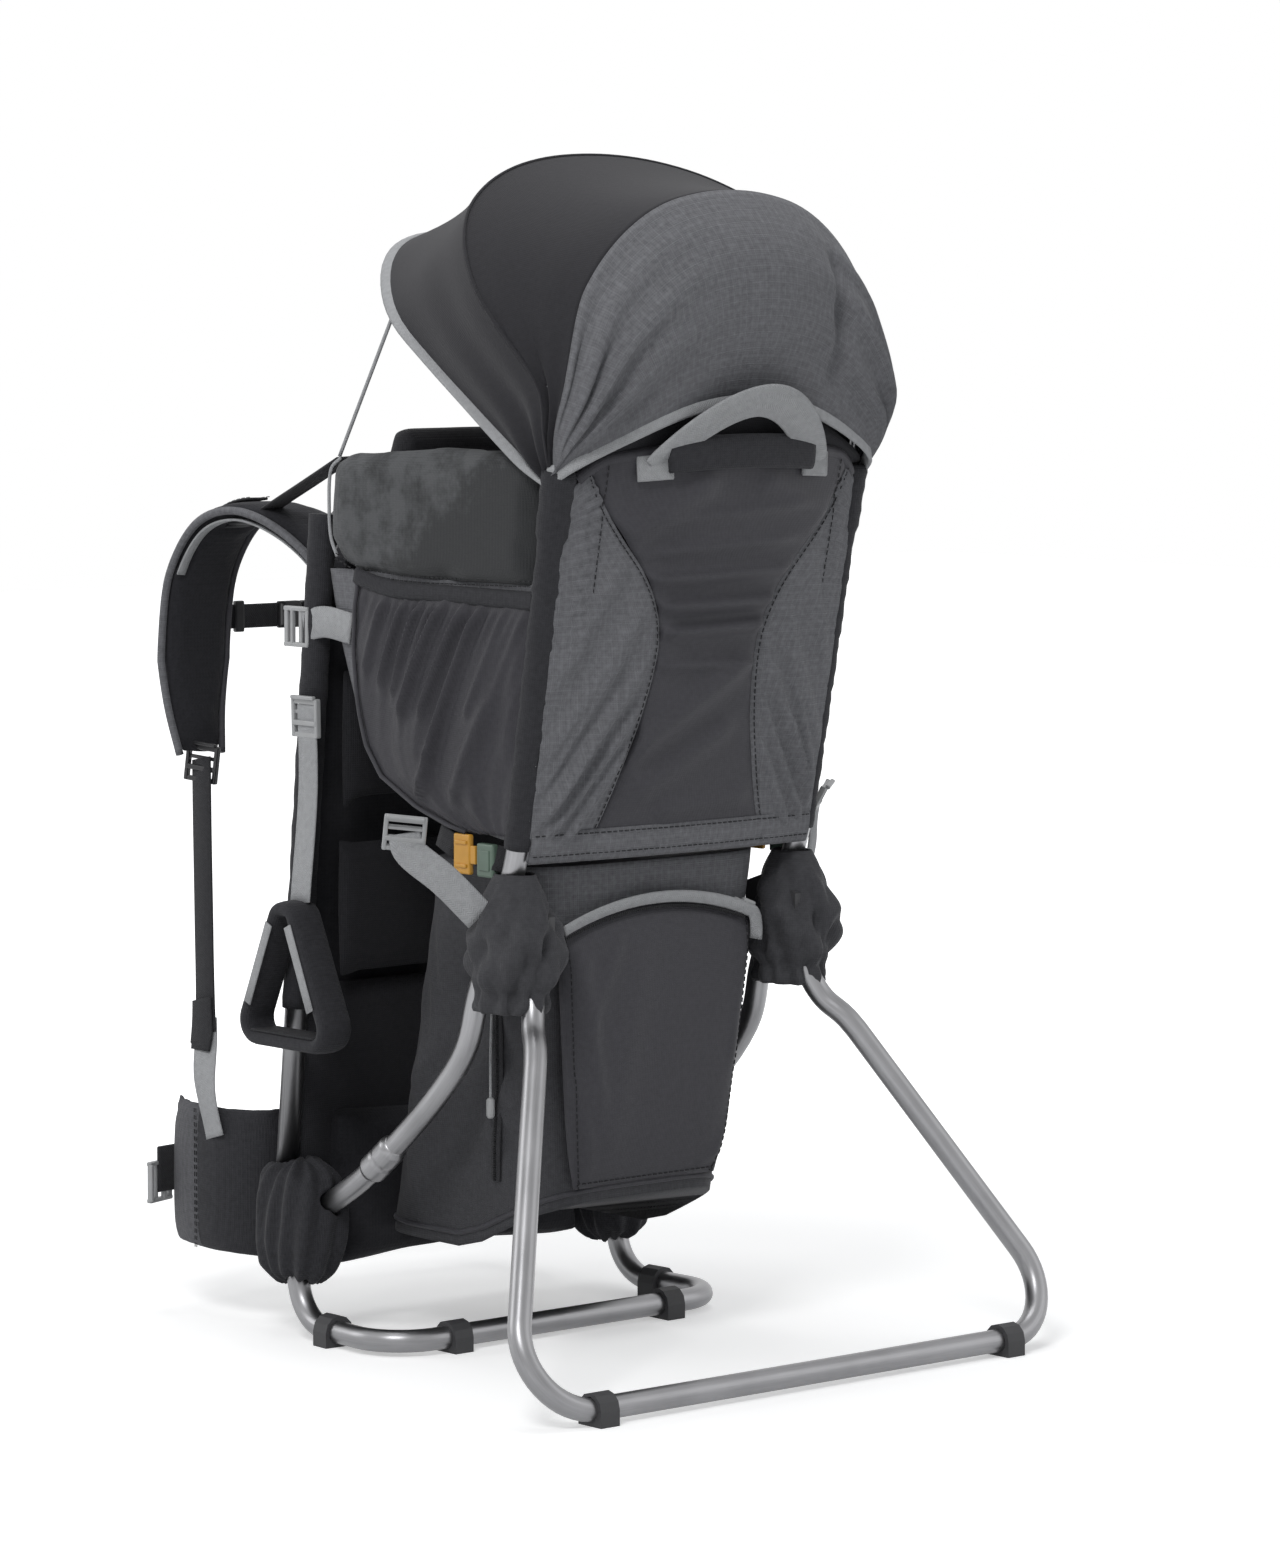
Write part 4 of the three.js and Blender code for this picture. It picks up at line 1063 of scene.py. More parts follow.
@dataclass
class TubeFrame:
    """The alloy tubes, their hardware and the fabric boots over their joints."""

    finishes: Finishes
    upright_lean: float = 2.0
    base_half: float = 174.0
    base_rear: float = 21.0
    leg_top: float = 139.0
    stand_half: float = 289.0
    stand_y: float = -271.0

    def base_route(self) -> list[Vector]:
        """Centre line of the base loop."""
        front_y = UPRIGHT_FOOT.y - 0.268 * (JOINT_Z - BASE_Z)
        half = [UPRIGHT_FOOT, Vector((UPRIGHT_FOOT.x + self.upright_lean, front_y, BASE_Z)),
                Vector((self.base_half, self.base_rear, BASE_Z))]
        return bent(both(half), [38, 42, 42, 38])

    def leg_route(self) -> list[Vector]:
        """Centre line of the kickstand's right leg down to the floor."""
        bends = ((0, 2.2, 12), (0, 0, 0), (0.6, -5, -26), (3, -11, -48), (10, -20, -66), (21, -36, -82))
        top = [HINGE_PLAN + Vector((self.leg_top + x, y, z)) for x, y, z in bends]
        return [*top, Vector((self.stand_half, self.stand_y, BASE_Z))]

    def stand_route(self) -> list[Vector]:
        """Centre line of the whole kickstand."""
        leg = self.leg_route()
        inner = bent(both(leg)[5:-5], [50, 50], 16)
        knee = smooth([*leg[:5], inner[0], inner[0].lerp(inner[1], 0.3)], 30)[:-4]
        return [*knee, *inner[1:-1], *[across(p) for p in reversed(knee)]]

    def side_route(self) -> list[Vector]:
        """Centre line of the right side tube."""
        foot = Vector((UPRIGHT_FOOT.x - 12, JOINT_Y - 25, JOINT_Z - 13))
        bends = [Vector(p) for p in ((151, 71.2, 142.4), (147, -37, 243.7), (145, -53.9, 293.4),
                                     (143.5, -76, 345))]
        return smooth([foot, *bends, side_tube(408), side_tube(540), side_tube(672)], 60)

    def build(self) -> None:
        """Makes the tubes and dresses the frame's plain parts."""
        alloy = self.finishes.alloy
        route = lambda line: [there(p) for p in line]
        radius = TUBE_R / 1000
        dress(pipe("base_loop_tube", route(self.base_route()), radius, alloy, 24), "pack", "alloy_tube",
              "base_loop")
        back = bent(both([upright(JOINT_Z + 4), upright(665)]), [60, 60])
        dress(pipe("back_frame_tube", route(back), radius, alloy, 24), "pack", "alloy_tube", "back_frame")
        stand = pipe("kickstand_tube", route(self.stand_route()), radius, alloy, 24)
        dress(stand, "kickstand", "alloy_tube", "kickstand")
        side = self.side_route()
        pair("side_tube_run", pipe("side", route(side), radius, alloy, 24), "pack", "alloy_tube", "side_tube")
        ferrule = Line(route(side), 200)
        lip = lambda t: 1 + 0.32 * min(1.0, 9 * t, 9 * (1 - t)) - 0.08 * (abs(t - 0.5) < 0.06)
        sleeve = pipe("ferrule", ferrule.part(0.115, 0.175, 24), radius, alloy, 24, lip)
        pair("tube_ferrule", sleeve, "pack", "alloy_tube")
        socket = [there(side_tube(z)) for z in (654, 656, 680, 692, 694)]
        collar = pipe("socket", resampled(socket, 20), (TUBE_R + 3) / 1000, self.finishes.black, 24,
                      lambda t: 1.06 if t < 0.12 or t > 0.86 else 0.96)
        pair("canopy_socket_sleeve", collar, "pack", "black_plastic", "canopy_socket")
        for node, piece in frame["nodes"].items():
            finish = self.finishes.alloy if "pin" in node else self.finishes.foot
            if "foot" in node or "bracket" in node or "pin" in node:
                piece.data.materials.clear()
                piece.data.materials.append(finish)

    def boots(self) -> None:
        """Makes the gathered fabric covers over the tube joints."""
        stuffing = Stuffing(voxel=0.004, tuck=0.003, cap=0.006)
        lower = padded("boot", "lower_joint_cover_right", self.finishes.dark, stuffing)
        self.crumple(lower, at(160, 152, 92), 11, 0.0028)
        for piece in pair("lower_joint_boot", lower, "pack", "dark_cloth", "lower_joint_cover"):
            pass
        bonnet = surface("bonnet", self.bonnet_place, 72, 44, self.finishes.ripstop_dark, 0.0012, closed=True)
        for piece in pair("hinge_bonnet", bonnet, "pack", "dark_cloth", "hinge_cover"):
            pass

    def crumple(self, piece: Piece, centre: Vector, folds: int, depth: float) -> None:
        """Gathers a cover into upright folds round a centre.

        Args:
            piece: the cover.
            centre: the middle of the folds.
            folds: how many go round.
            depth: how deep they are, in metres.
        """

        def fold(p: Vector, _: Vector) -> float:
            """Depth of the folds at a point."""
            turn = atan2(p.y - centre.y, p.x - centre.x)
            rise = (p.z - centre.z) * 20
            wave = sin(folds * turn + 1.6 * sin(rise) + rise) + 0.5 * sin(5 * turn - 2.2 * rise)
            return depth * 0.7 * wave

        shifted(piece, fold)

    def bonnet_place(self, u: float, v: float) -> Vector:
        """The gathered cover round the kickstand's hinge, open at its elastic hem.

        Args:
            u, v: shares of its width and height, from 0 to 1.

        Returns:
            The point in the scene.
        """
        z = lerp(283, 388, v)
        turn = -2 * pi * u
        t = clamp((z - 283) / 105)
        full = 30
        lower = lerp(22, full, hump(clamp(t * 1.1)) ** 0.7)
        wide = lower if t < 0.55 else lerp(full, 13, ((t - 0.55) / 0.45) ** 1.2)
        deep = wide * 1.26
        lean = Vector((141.5 + 1.5 * (1 - t), lerp(-91, -95, t), z))
        gather = 1 - exp(-((t - 0.14) / 0.07) ** 2) * 0.16
        fold = 0.07 * sin(11 * turn + 9 * t) * (1.2 - t) + 0.045 * sin(19 * turn - 14 * t) * (1 - t) ** 2
        fold += 0.11 * sin(4 * turn + 11 * t) * hump(t)
        fold += 0.06 * sin(7 * turn - 17 * t) * hump(t)
        droop = 0.06 * sin(3 * turn + 6 * t)
        size = gather + fold + droop
        return there(lean + Vector((wide * size * cos(turn), deep * size * sin(turn), 0)))


# ---- Canopy ----

@dataclass
class Canopy:
    """The sun canopy: two bows, three cloth panels, its bindings and elastic cords."""

    finishes: Finishes
    hem_angle: float = 30.0
    front_angle: float = 50.0
    rear_angle: float = 95.0
    bow_radius: float = 0.003
    cloth: float = 0.0011

    def __post_init__(self) -> None:
        """Works out the lines that the cloth is hung on, right to left."""
        corner = side_tube(686)
        front = ((162, 0), (174, 32), (184, 80), (178, 122), (156, 166), (112, 202), (58, 222), (0, 228))
        rear = ((147.5, 22), (146, 50), (132, 82), (106, 112), (72, 134), (36, 144), (0, 147))
        hem = ((154, 2), (158, 26), (156, 60), (150, 118), (143, 184), (134, 240), (111, 290), (72, 342),
               (36, 368), (0, 378))
        back = ((158, -156, 690), (149, -174, 702), (112, -190, 721), (56, -200, 741), (0, -203, 747))
        self.front = self.hoop(BOW_PIVOT, front, self.front_angle)
        self.rear = self.hoop(BOW_PIVOT, rear, self.rear_angle)
        self.hem = self.hoop(corner, hem, self.hem_angle)
        self.front_seam = self.lowered(self.front, ((154, corner.y + 1, 688), (164, corner.y - 3, 722),
                                                    (173, -161, 757)), 6)
        self.rear_seam = self.lowered(self.rear, ((154, corner.y - 1, 688), (162, corner.y - 12, 724),
                                                  (164, -179, 758)), 8)
        half = [Vector(p) for p in back]
        self.back = smooth([*half, *[across(p) for p in reversed(half[:-1])]], 64)

    def hoop(self, origin: Vector, pairs: Sequence[Coords], degrees: float) -> list[Vector]:
        """A hoop in a plane that leans from the horizontal, from half widths and reaches.

        Args:
            origin: the middle of its foot.
            pairs: half widths and reaches, foot first.
            degrees: how far it leans up.

        Returns:
            The hoop's points, right to left.
        """
        angle = radians(degrees)
        half = [Vector((x, origin.y + r * cos(angle), origin.z + r * sin(angle))) for x, r in pairs]
        return smooth([*half, *[across(p) for p in reversed(half[:-1])]], 64)

    def lowered(self, hoop: Points, foot: Sequence[Sequence[float]], drop: int) -> list[Vector]:
        """A hoop, less its first points, carried on down to the cabin's corners on both sides.

        Args:
            hoop: the hoop.
            foot: points from the right corner up.
            drop: how many points it loses at each end.

        Returns:
            The seam's points.
        """
        first = [Vector(p) for p in foot]
        crown = Vector((0, -90, 750))
        kept = [p + (p - crown).normalized() * 5.0 for p in hoop[drop:len(hoop) - drop:3]]
        return smooth([*first, *kept, *[across(p) for p in reversed(first)]], 96)

    def between(self, a: Points, b: Points,
                belly: Callable[[float, float], Vector]) -> Place:
        """A rule for cloth between two lines, with a belly added in millimetres.

        Args:
            a, b: the two lines.
            belly: the rule for the belly.

        Returns:
            The rule for the cloth.
        """
        first, second = Line(a), Line(b)
        return lambda u, v: there(first.place(u).lerp(second.place(u), v) + belly(u, v))

    def sag(self, u: float, v: float) -> Vector:
        """The middle panel dips a little between its bows and creases down its sides.

        Args:
            u, v: shares of its width and height, from 0 to 1.

        Returns:
            How far the cloth moves, in millimetres.
        """
        dip = -7 * hump(v) * hump(u) ** 2
        edge = abs(2 * u - 1)
        crease = 6.0 * edge ** 3 * hump(v) * sin(12 * v + 7 * u)
        side = -1 if u > 0.5 else 1
        return Vector((side * crease - side * 3 * hump(v) * edge ** 2, 0, dip))

    def rear_belly(self, u: float, v: float) -> Vector:
        """The rear panel stands out behind, with one long crease on the right.

        Args:
            u, v: shares of its width and height, from 0 to 1.

        Returns:
            How far the cloth moves, in millimetres.
        """
        swell = hump(v) * max(hump(u), 0.0) ** 0.6
        sway = 3 * cos(pi * u) * hump(v)
        crease = exp(-((u - 0.36 + 0.07 * v) / 0.022) ** 2) * 13 * hump(clamp(v * 1.05))
        away = min(u, 1 - u)
        near = clamp(away / 0.15) ** 1.4
        fan = near * clamp((0.42 - away) / 0.3) * sin(2 * pi * (4.1 * v + 1.3 * away))
        fan += 0.5 * near * clamp((0.3 - away) / 0.2) * sin(2 * pi * (7.3 * v - 0.9 * away))
        ripple = 1.6 * sin(26 * u + 4 * v) * hump(v) ** 2 + 7.0 * fan * hump(v) ** 0.5
        out = swell * 33 - crease + ripple
        return Vector((sway, -out, 14 * swell + 0.3 * crease))

    def visor_sag(self, u: float, v: float) -> Vector:
        """The visor's cloth hollows slightly between its hem and the front bow.

        Args:
            u, v: shares of its width and height, from 0 to 1.

        Returns:
            How far the cloth moves, in millimetres.
        """
        dip = hump(v) * hump(u) ** 0.5
        edge = abs(2 * u - 1) ** 3
        crease = 8.0 * edge * sin(3.6 * pi * v + 5 * u) * hump(v)
        side = -1 if u > 0.5 else 1
        return Vector((side * crease, 2 * dip, -5 * dip))

    def build(self) -> None:
        """Makes the bows, cloth, bindings and cords."""
        f = self.finishes
        pole = [there(p) for p in (side_tube(677), BOW_PIVOT)]
        rear = [*resampled(pole, 8), *[there(p) for p in self.rear]]
        rear += [across(p) for p in reversed(resampled(pole, 8))]
        bow = pipe("canopy_rear_bow_rod", rear, self.bow_radius, f.alloy, 12)
        dress(bow, "pack", "alloy_tube", "canopy_rear_bow")
        rod = pipe("canopy_front_bow_rod", [there(p) for p in self.front], self.bow_radius, f.alloy, 12)
        dress(rod, "canopy_front", "alloy_tube", "canopy_front_bow")
        self.pivots()
        panels = {
            "canopy_rear_panel": (self.rear_seam, self.back, self.rear_belly, f.ripstop, "ripstop"),
            "canopy_middle_panel": (self.front_seam, self.rear_seam, self.sag, f.canopy, "smooth_cloth"),
            "canopy_visor": (self.hem, self.front_seam, self.visor_sag, f.canopy, "smooth_cloth"),
        }
        for node, (a, b, belly, finish, slot) in panels.items():
            piece = surface(node + "_cloth", self.between(a, b, belly), 96, 26, finish, self.cloth)
            labelled(piece, slot, node)
            if node == "canopy_middle_panel":
                there(self.rear[32])
                there(self.front[32])
                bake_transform(piece)
            else:
                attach(piece, "canopy_front" if node == "canopy_visor" else "pack")
            declare_sheet(piece)
        seam = pipe("front_seam", [there(p) for p in self.front_seam], 0.0013, f.canopy, 8)
        dress(seam, "canopy_front", "smooth_cloth")
        for name, line, body, cloth, slot in (
                ("front_bow_sleeve", self.front[1:-1], "canopy_front", f.canopy, "smooth_cloth"),
                ("rear_bow_sleeve", self.rear, "pack", f.ripstop, "ripstop")):
            dress(pipe(name, [there(p) for p in line], self.bow_radius + 0.0007, cloth, 12), body, slot)
        self.bindings()
        self.cords()

    def pivots(self) -> None:
        """Makes the pivot blocks, eyes and rivets where the front bow turns."""
        x = BOW_PIVOT.x
        block = Shape().block((x - 1, 0, 0), (12, 16, 18), 2.0)
        block.rod((x, 0, 0), (x + 15, 0, 0), 2.0).rod((x + 14, 0, 0), (x + 16, 0, 0), 3.6)
        base = self.scaled(block, "pivot_block", self.finishes.black)
        pair("canopy_pivot", base, "pack", "black_plastic")
        eye = self.scaled(Shape().rod((x + 8.2, 0, 0), (x + 12.8, 0, 0), 7.0, 24), "eye", self.finishes.black)
        pair("front_bow_eye", eye, "canopy_front", "black_plastic")

    def scaled(self, shape: Shape, name: str, finish: Finish) -> Piece:
        """Sets a shape made in millimetres at the bow's pivot."""
        return shape.finish(name, finish, at(0, BOW_PIVOT.y, BOW_PIVOT.z), Matrix.Scale(0.001, 3))

    def bindings(self) -> None:
        """Makes the pale bindings on both hems and the cloth under the rear one."""
        f = self.finishes
        hem = [there(p) for p in self.hem]
        back = [there(p) for p in self.back]
        middle = Vector((0, hem[32].y - 0.19, hem[32].z + 0.02))
        inward = lambda points: (lambda t, tangent: (middle - points[min(int(t * 64), 64)]))
        visor = band("visor_binding", hem, inward(hem), 0.013, 0.0034, f.grey_tape)
        dress(visor, "canopy_front", "grey_webbing")
        down = lambda t, tangent: Vector((0, 0.15, 1))
        rear = band("rear_hem_binding", [p + Vector((0, -0.0006, 0.002)) for p in back], down, 0.014, 0.0036,
                    f.grey_tape)
        dress(rear, "pack", "grey_webbing")
        edge = [there(p + Vector((0, 9, -3))) for p in self.back[6:-6]]
        foot = [at(x, -168 - 13 * (1 - (x / 120) ** 2), 694 + 9 * (1 - (x / 120) ** 2))
                for x in range(118, -119, -4)]
        upper, lower = Line(edge), Line(foot)
        gusset = surface("canopy_gusset", lambda u, v: upper.place(u).lerp(lower.place(u), v), 48, 6,
                         f.lining, 0.001)
        dress(gusset, "pack", "smooth_cloth")

    def cords(self) -> None:
        """Makes the elastic cords from the visor down to the cabin's front corners."""
        top = there(Line(self.hem, 65).place(5 / 16 * 0.93))
        foot = at(WALL_OUT - 4, 119, 700)
        run = [top.lerp(foot, i / 15) for i in range(16)]
        length = runs_of(run)[-1]
        LOG.info("each visor cord: %.0f mm long", length * 1000)
        for name, points in (("right", run), ("left", [across(p) for p in run])):
            cord = pipe(f"visor_elastic_{name}", points, 0.0015, self.finishes.grey_tape, 8)
            labelled(cord, "grey_webbing", f"visor_cord_{name}")
            tuple(points[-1])
            tuple(points[0])
            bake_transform(cord)
            tuple(points[0])
            [tuple(p) for p in points]


def declare_sheet(piece: Piece) -> None:
    """Logs a cloth's area and the size it was cut to, read from its UV map in metres.

    Args:
        piece: the cloth.
    """
    layer = np.empty(len(piece.data.loops) * 2)
    piece.data.uv_layers[0].data.foreach_get("uv", layer)
    spans = layer.reshape(-1, 2).max(0) - layer.reshape(-1, 2).min(0)
    area = sum(p.area for p in piece.data.polygons) / 2
    grow = max(1.0, area / (spans[0] * spans[1]) * 1.001)
    flat = (float(spans[0] * grow), float(spans[1]))
    LOG.info("%s: cut %.0f by %.0f mm, %.4f square metres", piece.name, flat[0] * 1000, flat[1] * 1000, area)


# ---- Buckles ----

class Hardware:
    """Buckles and sliders, modelled in millimetres and set in place."""


    def set(self, shape: Shape, name: str, finish: Finish, spot: Vector, right: Vector, up: Vector,
            size: float = 1.0) -> Piece:
        """Sets a shape in place.

        Args:
            shape: the shape, in millimetres.
            name: the object's name.
            finish: its finish.
            spot: where its origin goes.
            right, up: the way its X runs, and near which its Z does.
            size: how much larger than drawn it is.

        Returns:
            The object.
        """
        return shape.finish(name, finish, spot, facing(right, up) @ Matrix.Scale(0.001 * size, 3))

    def ladder_lock(self, name: str, finish: Finish, spot: Vector, right: Vector, up: Vector,
                    width: float = 25.0) -> Piece:
        """A ladder-lock: two rails, four bars and a thumb lip, for webbing of a width; set as by set."""
        shape = Shape()
        for x in (-width / 2 - 2.2, width / 2 + 2.2):
            shape.block((x, 0, 0), (3.6, 5.0, 31), 1.1)
        for y, z, deep in ((0, -13.5, 4.0), (-1.2, -4.0, 4.2), (1.0, 4.5, 3.0), (0, 13.0, 4.6)):
            shape.block((0, y, z), (width + 6, 3.8, deep), 0.9)
        shape.block((0, -2.8, 16.2), (width + 4, 4.0, 3.0), 1.0)
        return self.set(shape, name, finish, spot, right, up)

    def release_socket(self, name: str, finish: Finish, spot: Vector, right: Vector, up: Vector,
                       size: float = 1.0) -> Piece:
        """The socket half of a side-release buckle, its mouth towards right; set as by set."""
        shape = Shape()
        for z in (9.4, -9.4):
            shape.block((-9, 0, z), (16, 7, 3.4), 1.0)
        for y in (-2.7, 2.7):
            shape.block((-8.4, y, 0), (17, 1.6, 17), 0.5)
        shape.block((-16.6, 0, 0), (3.2, 7, 22), 1.0)
        shape.block((-21.5, 0, 0), (2.4, 3.6, 22), 0.8)
        for z in (-10, 10):
            shape.block((-19, 0, z), (7, 3.6, 2.4), 0.8)
        return self.set(shape, name, finish, spot, right, up, size)

    def release_clip(self, name: str, finish: Finish, spot: Vector, right: Vector, up: Vector,
                     size: float = 1.0) -> Piece:
        """The clip half: two spring arms, a guide and a bar for the webbing; set as by set."""
        shape = Shape()
        shape.block((5.5, 0, 0), (9, 7, 22), 1.4)
        for side in (-1, 1):
            shape.block((-5.5, 0, side * 6.6), (13, 2.8, 1.9), 0.6)
            shape.block((14, 0, side * 10), (9, 3.6, 2.4), 0.8)
        shape.block((-5.5, 0, 0), (13, 2.4, 2.6), 0.6)
        shape.block((18, 0, 0), (2.6, 3.6, 22), 0.8)
        shape.block((12, -1.0, 0), (2.4, 3.0, 20), 0.8)
        return self.set(shape, name, finish, spot, right, up, size)


# ---- Cabin ----

@dataclass(frozen=True)
class Ridge:
    """A soft fold in a cloth, from one place to another, in millimetres of the cloth's plane."""

    start: Coords
    end: Coords
    width: float
    height: float

    def at(self, x: float, z: float) -> float:
        """How far the fold lifts the cloth at a place.

        Args:
            x, z: the place.

        Returns:
            The lift in millimetres.
        """
        ax, az = self.start
        dx, dz = self.end[0] - ax, self.end[1] - az
        t = ((x - ax) * dx + (z - az) * dz) / (dx * dx + dz * dz)
        off = hypot(x - ax - t * dx, z - az - t * dz)
        fade = exp(-max(0.0, abs(t - 0.5) - 0.35) ** 2 * 60)
        return self.height * fade * exp(-(off / self.width) ** 2)


def ridges_of(*rows: tuple) -> list[Ridge]:
    """Folds from rows of a start, an end, a width and a height."""
    return [Ridge(*row) for row in rows]


def lifted(ridges: Sequence[Ridge], x: float, z: float) -> float:
    """The sum of some folds at a place."""
    return sum(r.at(x, z) for r in ridges)


POCKET_FOLDS = ridges_of(
    ((-70, 592), (-6, 470), 5.0, 11), ((-28, 594), (24, 498), 4.0, 10), ((2, 592), (40, 512), 3.6, 8),
    ((-102, 592), (-54, 500), 5.0, 7), ((-50, 594), (0, 500), 3.2, 6), ((22, 592), (58, 520), 3.4, 7),
    ((-84, 520), (-30, 436), 7.0, 6), ((-12, 480), (10, 436), 5.0, 6), ((-118, 590), (-96, 470), 8.0, 5),
    ((50, 590), (76, 530), 4.0, 6))


@dataclass
class Cabin:
    """The child's cabin: walls, collars, rear panel, lining, handle, seat and entry buckles."""

    finishes: Finishes
    stitching: Stitching
    hardware: Hardware
    base: float = 398.0
    top: float = 700.0
    hem: float = 421.0
    sleeve: float = 11.0

    def rear_face(self, x: float, z: float) -> float:
        """Outside of the rear panel in the plan."""
        t = clamp((z - 390) / 312)
        middle = 1 - (x / SIDE_TOP.x) ** 2
        return side_tube(z).y - self.sleeve + 0.6 - middle * lerp(8, 27, t)

    def edge(self, z: float) -> float:
        """Half width of the rear panel at a height."""
        return side_tube(z).x - 1

    def waist(self, z: float) -> float:
        """Half width of the dark middle panel at a height: wide above, narrow at the waist."""
        knots = ((392, 93), (440, 74), (500, 56), (545, 49), (575, 50), (610, 67), (650, 104), (680, 124),
                 (716, 136))
        return between_knots(knots, z)

    def smooth_waist(self, z: float) -> float:
        """The waist with its corners eased."""
        return sum(self.waist(z + d) for d in (-14, -7, 0, 7, 14)) / 5

    def crest(self, x: float) -> float:
        """Height of the rear panel's top edge."""
        return self.top + 12 * (1 - (x / 147) ** 2) - 22 * clamp((abs(x) - 112) / 34) ** 2

    def rear_place(self, x: float, z: float, ridges: Sequence[Ridge] = (), proud: float = 0.0) -> Vector:
        """A point of the rear panel's cloth, with its seams drawn in.

        Args:
            x, z: the place in the panel's plane.
            ridges: the cloth's folds.
            proud: how far it stands off.

        Returns:
            The point in the scene.
        """
        off = abs(abs(x) - self.smooth_waist(z))
        seam = exp(-(off / 4.0) ** 2) * 1.6
        lift = lifted(ridges, x, z) * clamp(off / 9) ** 0.7
        return there(Vector((x, self.rear_face(x, z) - lift + seam - proud, z)))

    def rear_panel(self) -> None:
        """Makes the rear panel: a dark waisted middle, two ripstop sides, a hem band and a lining."""
        f = self.finishes
        pleats = [Ridge((-84, z), (80, z + lift), 5.0, h) for z, lift, h in
                  ((632, 9, 4.0), (611, 6, 7.0), (590, 3, 8.0), (569, 6, 8.6), (546, -3, 4.4),
                   (655, 12, 3.0))]
        pleats += ridges_of(
            ((-80, 470), (44, 548), 11, 8.0), ((-60, 440), (40, 500), 10, 5.0),
                ((-110, 640), (-20, 690), 13, 6.6),
            ((20, 690), (118, 650), 12, 5.4), ((-30, 430), (70, 440), 9, 4.4))
        middle = lambda u, v: self.middle_place(u, v, pleats)
        centre = surface("rear_panel_middle", middle, 44, 190, f.smooth, 0.0014)
        labelled(centre, "smooth_cloth", "rear_panel")
        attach(centre, "pack")
        declare_sheet(centre)
        drags = ridges_of(
            ((62, 548), (136, 432), 6, 8.0), ((60, 516), (132, 412), 5, 7.4), ((70, 590), (140, 474), 7, 5.6),
            ((66, 484), (116, 408), 5, 7.0), ((80, 560), (140, 450), 4, 4.0), ((92, 630), (138, 530), 8, 4.0),
            ((96, 500), (138, 424), 4, 5.0))
        side = surface("rear_side", lambda u, v: self.side_place(u, v, drags), 48, 120, f.ripstop, 0.0014)
        for piece in pair("rear_panel_side", side, "pack", "ripstop"):
            declare_sheet(piece)
        hem = surface("rear_hem", self.hem_place, 90, 8, f.ripstop, 0.002)
        dress(hem, "pack", "ripstop")
        lining = surface("rear_lining", self.lining_place, 30, 24, f.lining, 0.0014)
        dress(lining, "pack", "smooth_cloth")
        sleeve_line = [there(side_tube(z)) for z in range(408, 701, 6)]
        pucker = lambda t: 1 + 0.035 * sin(t * 130) + 0.03 * sin(t * 47)
        wider = lambda t: pucker(t) * (1 + 0.22 * clamp((t - 0.8) / 0.06))
        sleeve = pipe("sleeve", sleeve_line, self.sleeve / 1000, f.dark_uv, 20, wider)
        pair("side_tube_sleeve", sleeve, "pack", "ripstop")
        self.rear_stitches()

    def middle_place(self, u: float, v: float, ridges: Sequence[Ridge]) -> Vector:
        """A point of the dark middle panel.

        Args:
            u, v: shares of its width and height, from 0 to 1.
            ridges: its folds.

        Returns:
            The point in the scene.
        """
        z = lerp(self.base, self.top, v)
        x = lerp(-1, 1, u) * self.smooth_waist(z)
        rise = (self.crest(x) - self.top) * v ** 6
        return self.rear_place(x, z + rise, ridges)

    def side_place(self, u: float, v: float, ridges: Sequence[Ridge]) -> Vector:
        """A point of the right ripstop side panel.

        Args:
            u, v: shares of its width and height, from 0 to 1.
            ridges: its folds.

        Returns:
            The point in the scene.
        """
        z = lerp(self.base, self.top, v)
        x = lerp(self.smooth_waist(z), self.edge(z), u)
        rise = (self.crest(x) - self.top) * v ** 6
        strip = exp(-((x - self.edge(z) + 20) / 9) ** 4) * clamp((z - 545) / 20) * clamp((700 - z) / 20)
        gather = strip * (1.6 + 1.3 * sin(0.62 * z + 0.8 * sin(0.2 * x)))
        return self.rear_place(x, z + rise, ridges, gather)

    def hem_place(self, u: float, v: float) -> Vector:
        """A point of the hem band along the panel's foot.

        Args:
            u, v: shares of its width and height, from 0 to 1.

        Returns:
            The point in the scene.
        """
        z = lerp(self.base - 2, self.hem, v)
        x = lerp(-1, 1, u) * (self.edge(z) - 1)
        puff = 2.2 * hump(v) ** 0.6 + 0.5 * sin(31 * u) * hump(v)
        return self.rear_place(x, z, (), 0.6 + puff)

    def lining_place(self, u: float, v: float) -> Vector:
        """A point of the lining inside the rear panel."""
        z = lerp(self.base, self.top, v)
        x = lerp(1, -1, u) * (self.edge(z) - 10)
        return there(Vector((x, self.rear_face(x, z) + 9, z + (self.crest(x) - self.top) * v ** 6)))

    def rear_stitches(self) -> None:
        """Sews the rear panel's seams."""
        heights = [lerp(self.hem + 2, self.top - 2, i / 70) for i in range(71)]
        lines = []
        for side in (-1, 1):
            seam = [(self.smooth_waist(z) + 3.2, z) for z in heights]
            strip = [(self.edge(z) - 29, z) for z in heights if z > 560]
            lines += [[self.rear_place(side * x, z, (), 1.0) for x, z in row] for row in (seam, strip)]
        for z in (self.base + 4, self.hem - 3):
            lines.append([self.rear_place(x, z, (), 2.6) for x in range(-138, 139, 6)])
        dress(self.stitching.sew("rear_panel_stitches", lines), "pack", "dark_cloth")
        edge = [there(Vector((x, self.rear_face(x, self.crest(x)) + 4, self.crest(x))))
                for x in range(-138, 139, 4)]
        rim = pipe("rear_panel_rim", edge, 0.005, self.finishes.smooth, 10)
        dress(rim, "pack", "smooth_cloth")

